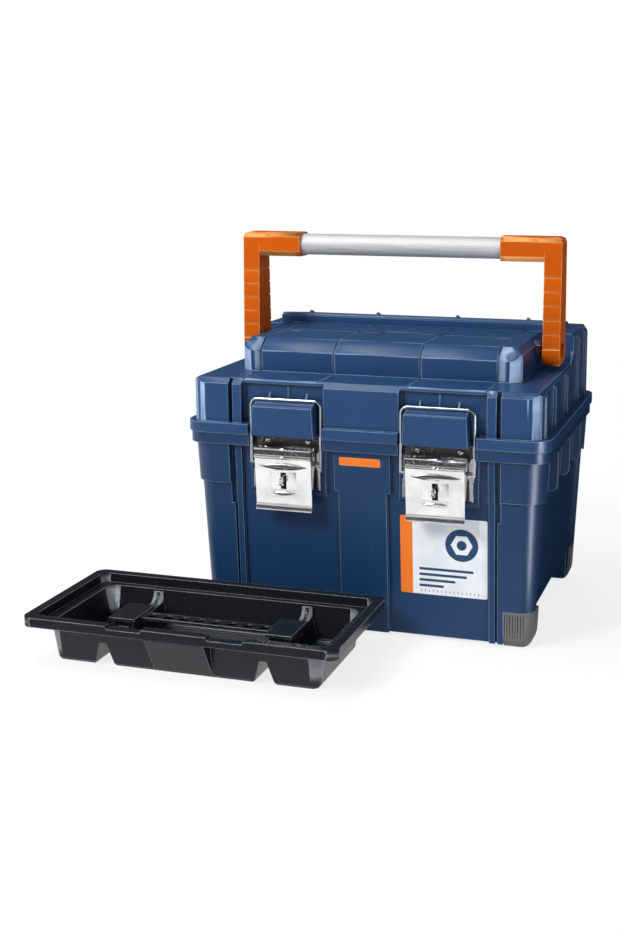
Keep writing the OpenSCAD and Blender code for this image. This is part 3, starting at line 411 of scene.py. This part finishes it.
@dataclass(frozen=True)
class PlatedSteel:
    """Pressed sheet or wire with a bright plate, with painted shade in a band where there is one."""

    name: str
    colour: Colour
    roughness: float
    band: Optional[Band] = None
    ripple_depth: float = 0.22 * MM

    def material(self) -> bpy.types.Material:
        """Builds the material."""
        shader = Shader(self.name)
        smudge = shader.noise(scale=38.0, detail=3.0)
        streak = shader.noise(scale=900.0, vector=shader.stretched((0.05, 1.0, 1.0)))
        ripple = shader.noise(scale=70.0, detail=1.0)
        base = shader.mix(smudge.ramp(0.30, 0.75), self.colour, scaled(self.colour, 0.84))
        rough = self.roughness + (smudge - 0.5) * 0.06 + (streak - 0.5) * 0.05
        if self.band is not None:
            speck = shader.noise(scale=620.0, detail=3.0).ramp(0.60, 0.68)
            _, _, z = shader.axes()
            # Painted shade: the band is darkened, with light specks left through it.
            painted_shade = z.within(self.band.low, self.band.high, self.band.soft) * (1.0 - speck * 0.8)
            base = shader.mix(painted_shade, base, self.band.colour)
            rough = rough + painted_shade * 0.12
        height = ripple * 0.5 + streak * 0.1
        varying = {"Base Color": base, "Roughness": rough}
        return shader.finish({"Metallic": 1.0}, varying, height, self.ripple_depth)


@dataclass(frozen=True)
class BrushedTube:
    """Aluminium tube with fine lines along its length under a clear film."""

    name: str
    colour: Colour
    roughness: float
    metallic: float = 0.5
    line_depth: float = 0.06 * MM

    def material(self) -> bpy.types.Material:
        """Builds the material."""
        shader = Shader(self.name)
        lines = shader.noise(scale=1400.0, detail=3.0, vector=shader.stretched((0.012, 1.0, 1.0)))
        smudge = shader.noise(scale=24.0, detail=3.0)
        base = shader.mix(lines.ramp(0.25, 0.75), scaled(self.colour, 0.72), self.colour)
        rough = self.roughness + (lines - 0.5) * 0.25 + (smudge - 0.5) * 0.12
        varying = {"Base Color": base, "Roughness": rough}
        return shader.finish({"Metallic": self.metallic}, varying, lines, self.line_depth)


@dataclass(frozen=True)
class PrintedFilm:
    """Pale film with a plain print: an orange band, a nut in a disc, rows of bars and a tick scale."""

    name: str
    width: float
    height: float
    soft: float = 0.35 * MM
    band: float = 15.0 * MM
    disc_at: tuple[float, float] = (22.0 * MM, 16.0 * MM)
    disc_r: float = 20.0 * MM
    nut_r: float = 11.5 * MM
    hole_r: float = 6.0 * MM
    bar_left: float = -30.0 * MM
    bar_top: float = -18.0 * MM
    bar_pitch: float = 7.0 * MM
    bar_height: float = 3.2 * MM
    bar_lengths: tuple[float, ...] = (66.0 * MM, 58.0 * MM, 44.0 * MM, 30.0 * MM)
    tick_pitch: float = 5.0 * MM
    tick_part: tuple[float, float, float] = (0.40, 0.56, 0.06)
    tick_low: float = 3.0 * MM
    tick_high: float = 6.5 * MM
    scale_from: float = -32.0 * MM
    scale_to: float = 46.0 * MM
    fibre_depth: float = 0.02 * MM

    def material(self) -> bpy.types.Material:
        """Builds the material; the print is laid out on the piece's own x and z."""
        shader = Shader(self.name)
        x, _, z = shader.axes()
        fibre = shader.noise(scale=420.0, detail=3.0)
        smudge = shader.noise(scale=45.0, detail=3.0)
        colour = shader.mix(smudge.ramp(0.3, 0.8), FILM_LIGHT, FILM_SMUDGED)
        left = -self.width / 2
        colour = shader.mix(x.within(2 * left, left + self.band, self.soft), colour, PRINT_ORANGE)
        dx, dz = x - self.disc_at[0], z - self.disc_at[1]
        radius = (dx * dx + dz * dz) ** 0.5
        colour = shader.mix(radius.under(self.disc_r, self.soft), colour, PRINT_NAVY)
        slant = abs(dx) * math.sin(math.pi / 3) + abs(dz) * math.cos(math.pi / 3)
        reach = shader.math("MAXIMUM", abs(dz), slant)
        nut = reach.under(self.nut_r, self.soft) * (1.0 - radius.under(self.hole_r, self.soft))
        colour = shader.mix(nut, colour, PRINT_PALE)
        colour = shader.mix(self._bars(x, z), colour, PRINT_NAVY)
        colour = shader.mix(self._ticks(x, z), colour, PRINT_GREY)
        rough = 0.34 + (smudge - 0.5) * 0.2
        constants = {"IOR": 1.45, "Specular IOR Level": 0.4}
        return shader.finish(constants, {"Base Color": colour, "Roughness": rough}, fibre, self.fibre_depth)

    def _bars(self, x: Field, z: Field) -> Field:
        """Plain bars of falling length under the disc."""
        rows = []
        for row, length in enumerate(self.bar_lengths):
            low = self.bar_top - self.bar_pitch * row
            across = x.within(self.bar_left, self.bar_left + length, self.soft)
            rows.append(across * z.within(low, low + self.bar_height, self.soft))
        return sum(rows[1:], rows[0])

    def _ticks(self, x: Field, z: Field) -> Field:
        """Scale of short lines along the lower edge."""
        base = -self.height / 2
        line = (x / self.tick_pitch).fraction().within(*self.tick_part)
        upright = z.within(base + self.tick_low, base + self.tick_high, self.soft)
        return line * upright * x.within(self.scale_from, self.scale_to, self.soft)


@dataclass(frozen=True)
class EdgeRound:
    """How the sharp edges of a piece are rounded."""

    width: float
    segments: int = 2
    sharp: float = math.radians(28.0)


class Dresser:
    """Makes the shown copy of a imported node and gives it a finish.

    Faces that meet at less than flat are joined. A face narrower than slim_share times the rounding
    keeps its sharp edges. A point that ends further than stray_share times the rounding from the
    packed surface goes back to it.
    """

    flat: float = math.radians(0.4)
    slim_share: float = 2.4
    stray_share: float = 0.6

    def __init__(self) -> None:
        """Reads which body and which material slot each node has."""
        record = frame["record"]
        bodies = record["behaviour"]["bodies"]
        self.body = {node: body for body, nodes in bodies.items() for node in nodes}
        self.slot = {part["node"]: part["material_slot"] for part in record["subparts"]}
        bm = bmesh.new()
        bm.from_mesh(frame["nodes"]["body_shell"].data)
        self.box_tree = BVHTree.FromBMesh(bm)
        bm.free()

    def front_of_box(self, x: float, z: float) -> float:
        """The y of the front surface of the box at a place.

        Args:
            x: place across the front.
            z: height.

        Returns:
            The y that a look from the front meets.
        """
        hit = self.box_tree.ray_cast(Vector((x, -1.0, z)), Vector((0.0, 1.0, 0.0)))[0]
        return hit.y

    def dress(self, node: str, material: bpy.types.Material, edge: EdgeRound) -> None:
        """Shows a node as a copy with rounded edges.

        Args:
            node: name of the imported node.
            material: its finish.
            edge: how its edges are rounded.
        """
        bm = bmesh.new()
        bm.from_mesh(frame["nodes"][node].data)
        self._round(bm, edge)
        piece = self.show(f"{node}_piece", bm, material, self.body[node], self.slot[node])
        normals = piece.modifiers.new("even_normals", "WEIGHTED_NORMAL")
        normals.keep_sharp = False
        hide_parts(node)

    @staticmethod
    def show(name: str, bm: bmesh.types.BMesh, material: bpy.types.Material, body: str, slot: str,
             at: Point = (0.0, 0.0, 0.0)) -> bpy.types.Object:
        """Puts a mesh in the scene as a piece.

        Args:
            name: the piece's name.
            bm: its mesh, which is freed.
            material: its finish.
            body: the body that it rides on.
            slot: not used.
            at: where the mesh's origin goes.

        Returns:
            The new piece.
        """
        mesh = bpy.data.meshes.new(f"{name}_mesh")
        bm.to_mesh(mesh)
        bm.free()
        mesh.materials.append(material)
        piece = bpy.data.objects.new(name, mesh)
        piece.location = at
        bpy.context.scene.collection.objects.link(piece)
        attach(piece, body)
        LOG.info("%s: %d faces on %s", name, len(mesh.polygons), body)
        return piece

    @staticmethod
    def _width(face: bmesh.types.BMFace) -> float:
        """Mean width of a face, taken as a strip."""
        return 2.0 * face.calc_area() / face.calc_perimeter()

    def _round(self, bm: bmesh.types.BMesh, edge: EdgeRound) -> None:
        """Rounds the sharp edges, apart from those of slim faces, and keeps to the surface."""
        bmesh.ops.remove_doubles(bm, verts=bm.verts, dist=WELD)
        bmesh.ops.dissolve_limit(bm, angle_limit=self.flat, verts=bm.verts, edges=bm.edges)
        surface = BVHTree.FromBMesh(bm)
        slim = {face for face in bm.faces if self._width(face) < self.slim_share * edge.width}
        sharp = [line for line in bm.edges if line.is_manifold and line.calc_face_angle() > edge.sharp
                 and slim.isdisjoint(line.link_faces)]
        if sharp:
            bmesh.ops.bevel(bm, geom=sharp, offset=edge.width, offset_type="OFFSET",
                            segments=edge.segments, profile=0.5, affect="EDGES",
                            clamp_overlap=False, loop_slide=True)
        for vert in bm.verts:
            place, _, _, gap = surface.find_nearest(vert.co)
            if gap > self.stray_share * edge.width:
                vert.co = place
        for face in bm.faces:
            face.smooth = True
            face.material_index = 0


@dataclass
class BoxShell:
    """The box moulding with its corner feet and hinge rods."""

    edge: EdgeRound = EdgeRound(0.6 * MM)
    foot_edge: EdgeRound = EdgeRound(0.2 * MM)
    rod_edge: EdgeRound = EdgeRound(0.4 * MM)

    def build(self, dresser: Dresser) -> None:
        """Dresses every node of the box."""
        navy = MouldedPlastic("navy_box_plastic", NAVY, NAVY_WEAR_AND_HIGHLIGHT, 0.33, gloss=0.28).material()
        grey = MouldedPlastic("grey_foot_plastic", FOOT_GREY, FOOT_WEAR_AND_HIGHLIGHT, 0.55).material()
        steel = PlatedSteel("hinge_rod_steel", ROD_GREY, 0.30).material()
        dresser.dress("body_shell", navy, self.edge)
        for end in End:
            for side in Side:
                dresser.dress(f"foot_{end.value}_{side.value}", grey, self.foot_edge)
        for side in Side:
            dresser.dress(f"hinge_rod_{side.value}", steel, self.rod_edge)


@dataclass(frozen=True)
class Plate:
    """A rectangle on the front of the box."""

    left: float
    right: float
    low: float
    high: float

    @property
    def width(self) -> float:
        """Its width."""
        return self.right - self.left

    @property
    def height(self) -> float:
        """Its height."""
        return self.high - self.low

    @property
    def centre(self) -> Vector:
        """Its middle, at y 0."""
        return Vector(((self.left + self.right) / 2, 0.0, (self.low + self.high) / 2))


@dataclass
class FrontLabel:
    """A printed film on the right front panel and a plain badge on the middle pilaster."""

    film: Plate = Plate(45.0 * MM, 151.0 * MM, 57.0 * MM, 154.0 * MM)
    badge: Plate = Plate(-28.0 * MM, 23.0 * MM, 211.0 * MM, 221.0 * MM)
    corner: float = 2.0 * MM
    thick: float = 0.25 * MM
    sunk: float = 0.05 * MM
    steps: int = 6

    def build(self, dresser: Dresser) -> None:
        """Makes both plates on the surface behind them."""
        film = PrintedFilm("printed_label_film", self.film.width, self.film.height).material()
        self._lay("front_label", self.film, film, "grey_plastic", dresser)
        pad = MouldedPlastic("orange_badge_plastic", PRINT_ORANGE, ORANGE_WEAR_AND_HIGHLIGHT, 0.30).material()
        self._lay("pilaster_badge", self.badge, pad, "orange_plastic", dresser)

    def _lay(self, name: str, plate: Plate, material: bpy.types.Material, slot: str,
             dresser: Dresser) -> None:
        """Makes one thin plate that lies on the front of the box.

        Args:
            name: the piece's name.
            plate: where it lies.
            material: its finish.
            slot: the record's material slot.
            dresser: knows the surface of the box.
        """
        centre = plate.centre
        bm = bmesh.new()
        front, back = [], []
        for dx, dz in self._outline(plate):
            hit = dresser.front_of_box(centre.x + dx, centre.z + dz)
            front.append(bm.verts.new(Vector((dx, hit - self.thick, dz))))
            back.append(bm.verts.new(Vector((dx, hit + self.sunk, dz))))
        bm.faces.new(front)
        bm.faces.new(list(reversed(back)))
        for k in range(len(front)):
            n = (k + 1) % len(front)
            bm.faces.new((front[n], front[k], back[k], back[n]))
        bmesh.ops.recalc_face_normals(bm, faces=bm.faces)
        dresser.show(name, bm, material, "box", slot, tuple(centre))

    def _outline(self, plate: Plate) -> list[tuple[float, float]]:
        """The plate's outline with rounded corners, about its middle."""
        half_x, half_z = plate.width / 2 - self.corner, plate.height / 2 - self.corner
        points = []
        for quarter, (sx, sz) in enumerate(((1, 1), (-1, 1), (-1, -1), (1, -1))):
            for k in range(self.steps + 1):
                angle = math.pi / 2 * (quarter + k / self.steps)
                x = sx * half_x + self.corner * math.cos(angle)
                z = sz * half_z + self.corner * math.sin(angle)
                points.append((x, z))
        return points


@dataclass
class Lid:
    """The lid moulding and the pins that carry the handle."""

    edge: EdgeRound = EdgeRound(0.7 * MM)
    pin_edge: EdgeRound = EdgeRound(0.6 * MM)

    def build(self, dresser: Dresser) -> None:
        """Dresses every node of the lid."""
        navy = MouldedPlastic("navy_lid_plastic", LID_NAVY_LIT, NAVY_WEAR_AND_HIGHLIGHT, 0.33, gloss=0.33).material()
        pin = MouldedPlastic("orange_pin_plastic", ORANGE, ORANGE_WEAR_AND_HIGHLIGHT, 0.36, gloss=0.10).material()
        dresser.dress("lid_shell", navy, self.edge)
        for side in Side:
            dresser.dress(f"pivot_pin_{side.value}", pin, self.pin_edge)


@dataclass
class CarryHandle:
    """The two arms and the tube between them."""

    edge: EdgeRound = EdgeRound(0.5 * MM)
    tube_edge: EdgeRound = EdgeRound(0.4 * MM)

    def build(self, dresser: Dresser) -> None:
        """Dresses every node of the handle."""
        orange = MouldedPlastic("orange_arm_plastic", ORANGE, ORANGE_WEAR_AND_HIGHLIGHT, 0.36, gloss=0.10).material()
        tube = BrushedTube("brushed_tube_aluminium", TUBE_GREY, 0.62).material()
        for side in Side:
            dresser.dress(f"handle_arm_{side.value}", orange, self.edge)
        dresser.dress("handle_tube", tube, self.tube_edge)


class LatchFinishes:
    """The finishes that both latches share."""

    # Painted shade: dark bands on the boss's upper half, in the gutter under the lever's roll, and on the
    # plate above the roll.
    boss_band: Band = Band(207.4 * MM, 213.5 * MM, BOSS_SHADE)
    roll_painted_shade: Band = Band(221.6 * MM, 227.0 * MM)
    plate_painted_shade: Band = Band(228.0 * MM, 245.0 * MM)

    def __init__(self) -> None:
        """Builds the materials."""
        self.bright = PlatedSteel("bright_latch_steel", CHROME, 0.10).material()
        self.boss = PlatedSteel("shaded_boss_steel", CHROME, 0.10, self.boss_band).material()
        self.wire = PlatedSteel("bail_wire_steel", WIRE_GREY, 0.18).material()
        self.lever = PlatedSteel("bright_lever_steel", LEVER_CHROME, 0.14, self.roll_painted_shade).material()
        self.plate = PlatedSteel("dull_plate_steel", PLATE_GREY, 0.20, self.plate_painted_shade).material()


@dataclass(frozen=True)
class Dome:
    """A lens-shaped pressing on the lever, its middle so far below the pin."""

    drop: float
    width: float
    height: float
    proud: float


@dataclass
class DrawLatch:
    """One latch: plate, rivets, pin, staple, lever with its pressed domes, and bail wire."""

    side: Side
    sheet_edge: EdgeRound = EdgeRound(0.45 * MM)
    wire_edge: EdgeRound = EdgeRound(0.2 * MM)
    tilt: float = math.radians(4.0)
    skin: float = 8.55 * MM
    boss: Dome = Dome(15.5 * MM, 60.0 * MM, 8.1 * MM, 1.5 * MM)
    mark: Dome = Dome(48.5 * MM, 27.0 * MM, 4.7 * MM, 1.0 * MM)
    across: int = 40
    around: int = 12

    def build(self, dresser: Dresser, finishes: LatchFinishes) -> None:
        """Dresses every node of the latch."""
        name = self.side.value
        dresser.dress(f"latch_plate_{name}", finishes.plate, self.sheet_edge)
        dresser.dress(f"lever_{name}", finishes.lever, self.sheet_edge)
        dresser.dress(f"staple_{name}", finishes.bright, self.sheet_edge)
        dresser.dress(f"bail_{name}", finishes.wire, self.wire_edge)
        for node in (f"latch_pin_{name}", f"rivet_{name}_a", f"rivet_{name}_b"):
            dresser.dress(node, finishes.bright, self.wire_edge)
        self._press(f"lever_boss_{name}", self.boss, finishes.boss, dresser)
        self._press(f"lever_mark_{name}", self.mark, finishes.bright, dresser)

    def _press(self, name: str, dome: Dome, material: bpy.types.Material, dresser: Dresser) -> None:
        """Adds a dome that stands on the skin of the lever.

        Args:
            name: the piece's name.
            dome: its place and size.
            material: its finish.
            dresser: puts it in the scene.
        """
        bm = bmesh.new()
        columns = []
        for u in self._steps(self.across):
            columns.append([bm.verts.new(self._on_lever(u, v, dome)) for v in self._steps(self.around)])
        for left, right in zip(columns, columns[1:]):
            for k in range(self.around):
                bm.faces.new((left[k], right[k], right[k + 1], left[k + 1]))
        bmesh.ops.remove_doubles(bm, verts=bm.verts, dist=WELD)
        bmesh.ops.holes_fill(bm, edges=[line for line in bm.edges if line.is_boundary])
        bmesh.ops.recalc_face_normals(bm, faces=bm.faces)
        for face in bm.faces:
            face.smooth = len(face.verts) <= 4
        dresser.show(name, bm, material, f"lever_{self.side.value}", "latch_chrome")

    @staticmethod
    def _steps(count: int) -> list[float]:
        """Evenly spaced values from -1 to 1."""
        return [2.0 * k / count - 1.0 for k in range(count + 1)]

    def _on_lever(self, u: float, v: float, dome: Dome) -> Vector:
        """A point of a dome in the model's frame, u across it and v up it, each from -1 to 1."""
        waist = 1.0 - u * u
        x = dome.width / 2 * u
        y = -self.skin - dome.proud * math.sqrt(waist) * (1.0 - v * v)
        z = -dome.drop + dome.height / 2 * waist * v
        cos, sin = math.cos(self.tilt), math.sin(self.tilt)
        return self._pin() + Vector((x, y * cos - z * sin, y * sin + z * cos))

    def _pin(self) -> Vector:
        """The place of the lever's pin."""
        joints = {joint["name"]: joint for joint in frame["record"]["behaviour"]["joints"]}
        return Vector(joints[f"lever_{self.side.value}_turn"]["pos_m"])


@dataclass
class LiftOutTray:
    """The tray that stands in front of the box."""

    edge: EdgeRound = EdgeRound(0.7 * MM)

    def build(self, dresser: Dresser) -> None:
        """Dresses the tray."""
        black = MouldedPlastic("black_tray_plastic", TRAY_BLACK, TRAY_WEAR_AND_HIGHLIGHT, 0.27, gloss=0.32).material()
        dresser.dress("tray", black, self.edge)


@dataclass(frozen=True)
class StudioLamp:
    """A soft rectangular lamp, its power in watts, with or without a reflection in gloss."""

    name: str
    at: Point
    size: tuple[float, float]
    power: float
    in_gloss: bool = True


@dataclass(frozen=True)
class StudioCard:
    """A card that only gloss sees, flat or upright, from a low corner to a high one."""

    name: str
    low: Point
    high: Point
    shade: float
    glow: float = 0.0

    def corners(self) -> list[Point]:
        """The four corners in order."""
        (x0, y0, z0), (x1, y1, z1) = self.low, self.high
        if z0 == z1:
            return [(x0, y0, z0), (x1, y0, z0), (x1, y1, z0), (x0, y1, z0)]
        return [(x0, y0, z0), (x1, y1, z0), (x1, y1, z1), (x0, y0, z1)]


@dataclass
class Studio:
    """Pale floor, white surroundings, soft lamps, cards and the camera.

    The dark cards are what the gloss mirrors. The bright strip draws the streak down the right
    front corner, and its shield keeps it off the tray.
    """

    camera_at: Point = (0.473217, -1.606916, 0.578700)
    camera_yaw: float = math.radians(16.460)
    camera_pitch: float = math.radians(-10.004)
    focal_px: float = 1318.935
    centre_px: tuple[float, float] = (400.0, 383.0)
    sensor: float = 36.0
    aim: Point = (0.0, 0.0, 0.2)
    sky: float = 0.34
    floor_half: float = 9.0
    near_white: float = 0.80
    fade_from: float = 0.75
    fade_to: float = 1.9
    cards: tuple[StudioCard, ...] = (
        StudioCard("front_card", (-2.2, -2.6, 0.0), (2.2, -2.6, 0.60), 0.05),
        StudioCard("high_front_card", (-2.2, -2.6, 0.95), (2.2, -2.6, 2.3), 0.05),
        StudioCard("rear_card", (-2.6, 2.2, 0.0), (2.6, 2.2, 2.2), 0.06),
        StudioCard("near_floor_card", (-0.5, -0.55, 0.001), (0.30, -0.45, 0.001), 0.06),
        StudioCard("far_floor_card", (-0.9, -1.28, 0.001), (0.4, -0.95, 0.001), 0.04),
        StudioCard("bright_strip", (0.300, -0.239, 0.02), (0.322, -0.201, 0.34), 0.8, 19.0),
        StudioCard("strip_shield", (0.24, -0.42, 0.0), (0.24, -0.196, 0.36), 0.05),
        StudioCard("right_card", (0.80, -0.9, 0.0), (0.80, 3.2, 1.6), 0.01),
        StudioCard("right_floor_card", (0.17, -0.12, 0.001), (0.80, 3.2, 0.001), 0.005),
        StudioCard("ceiling_card", (-2.5, -3.0, 2.8), (2.5, 2.5, 2.8), 0.06),
    )
    lamps: tuple[StudioLamp, ...] = (
        StudioLamp("key_lamp", (-1.5, -2.3, 2.3), (1.0, 1.0), 84.0),
        StudioLamp("strip_lamp", (2.2, -1.5, 0.85), (0.30, 1.3), 10.0),
        StudioLamp("top_lamp", (-0.6, -0.45, 2.4), (1.3, 0.6), 21.0),
        StudioLamp("rear_lamp", (-0.9, 2.4, 1.7), (1.2, 1.0), 28.0, in_gloss=False),
    )

    def build(self) -> None:
        """Sets up everything around the object."""
        scene = bpy.context.scene
        scene.view_settings.view_transform = "Standard"
        self._camera(scene)
        self._world(scene)
        self._floor(scene)
        for lamp in self.lamps:
            self._light(scene, lamp)
        for card in self.cards:
            self._hang(scene, card)

    def _camera(self, scene: bpy.types.Scene) -> None:
        """Places the camera at the photograph's angle."""
        width, height = PHOTO_SIZE
        long_side = max(width, height)
        data = bpy.data.cameras.new("camera")
        data.sensor_width = self.sensor
        data.lens = self.focal_px * self.sensor / long_side
        data.shift_x = (width / 2 - self.centre_px[0]) / long_side
        data.shift_y = (self.centre_px[1] - height / 2) / long_side
        camera = bpy.data.objects.new("camera", data)
        camera.location = self.camera_at
        camera.rotation_euler = (math.pi / 2 + self.camera_pitch, 0.0, self.camera_yaw)
        scene.collection.objects.link(camera)
        scene.camera = camera

    def _world(self, scene: bpy.types.Scene) -> None:
        """White surroundings that light the object at a lower level than they show."""
        world = bpy.data.worlds.new("surroundings")
        world.use_nodes = True
        graph = Graph(world.node_tree)
        light = graph.node("ShaderNodeBackground", None, {"Color": WHITE, "Strength": self.sky})
        shown = graph.node("ShaderNodeBackground", None, {"Color": WHITE, "Strength": 1.0})
        mixed = graph.blend(graph.looked_at(), light, shown)
        graph.add("ShaderNodeOutputWorld", None, {"Surface": mixed})
        scene.world = world

    def _floor(self, scene: bpy.types.Scene) -> None:
        """Pale floor that keeps the shadow near the object and is white further off."""
        shader = Shader("pale_floor")
        tone = shader.mix(shader.noise(scale=30.0, detail=3.0), FLOOR_DARK, FLOOR_LIGHT)
        material = shader.finish({"Roughness": 0.85, "Specular IOR Level": 0.1}, {"Base Color": tone})
        x, y, _ = shader.axes()
        away = ((x * x + y * y) ** 0.5).ramp(self.fade_from, self.fade_to)
        share = shader.looked_at() * (self.near_white + away * (1.0 - self.near_white))
        white = shader.node("ShaderNodeEmission", None, {"Color": WHITE, "Strength": 1.0})
        shader.feed(shader.output.inputs["Surface"], shader.blend(share, shader.surface, white))
        half = self.floor_half
        corners = [(-half, -half, 0.0), (half, -half, 0.0), (half, half, 0.0), (-half, half, 0.0)]
        self._sheet(scene, "floor", corners, material)

    def _hang(self, scene: bpy.types.Scene, card: StudioCard) -> None:
        """Adds a card that only gloss sees, as a studio puts one beside a shiny thing."""
        shader = Shader(f"{card.name}_cloth")
        cloth = {"Base Color": scaled(WHITE, card.shade), "Roughness": 0.9, "Specular IOR Level": 0.0,
                 "Emission Color": WHITE, "Emission Strength": card.glow}
        piece = self._sheet(scene, card.name, card.corners(), shader.finish(cloth, {}))
        piece.visible_camera = False
        piece.visible_diffuse = False
        piece.visible_transmission = False
        piece.visible_shadow = False

    @staticmethod
    def _sheet(scene: bpy.types.Scene, name: str, corners: list[Point],
               material: bpy.types.Material) -> bpy.types.Object:
        """Adds one flat four-sided piece of the studio.

        Args:
            scene: the scene it goes in.
            name: its name.
            corners: its corners in order.
            material: its finish.

        Returns:
            The new piece.
        """
        mesh = bpy.data.meshes.new(name)
        mesh.from_pydata(corners, [], [(0, 1, 2, 3)])
        mesh.materials.append(material)
        piece = bpy.data.objects.new(name, mesh)
        scene.collection.objects.link(piece)
        return piece

    def _light(self, scene: bpy.types.Scene, lamp: StudioLamp) -> None:
        """Adds one lamp, turned to the middle of the box."""
        data = bpy.data.lights.new(lamp.name, "AREA")
        data.shape = "RECTANGLE"
        data.size, data.size_y = lamp.size
        data.energy = lamp.power
        piece = bpy.data.objects.new(lamp.name, data)
        piece.location = lamp.at
        piece.rotation_euler = (Vector(self.aim) - Vector(lamp.at)).to_track_quat("-Z", "Y").to_euler()
        piece.visible_glossy = lamp.in_gloss
        scene.collection.objects.link(piece)


def main() -> None:
    """Builds the scene in order."""
    logging.basicConfig(level=logging.INFO, format="%(message)s")
    dresser = Dresser()
    Studio().build()
    BoxShell().build(dresser)
    FrontLabel().build(dresser)
    Lid().build(dresser)
    CarryHandle().build(dresser)
    finishes = LatchFinishes()
    for side in Side:
        DrawLatch(side).build(dresser, finishes)
    LiftOutTray().build(dresser)


if __name__ == "__main__":
    main()
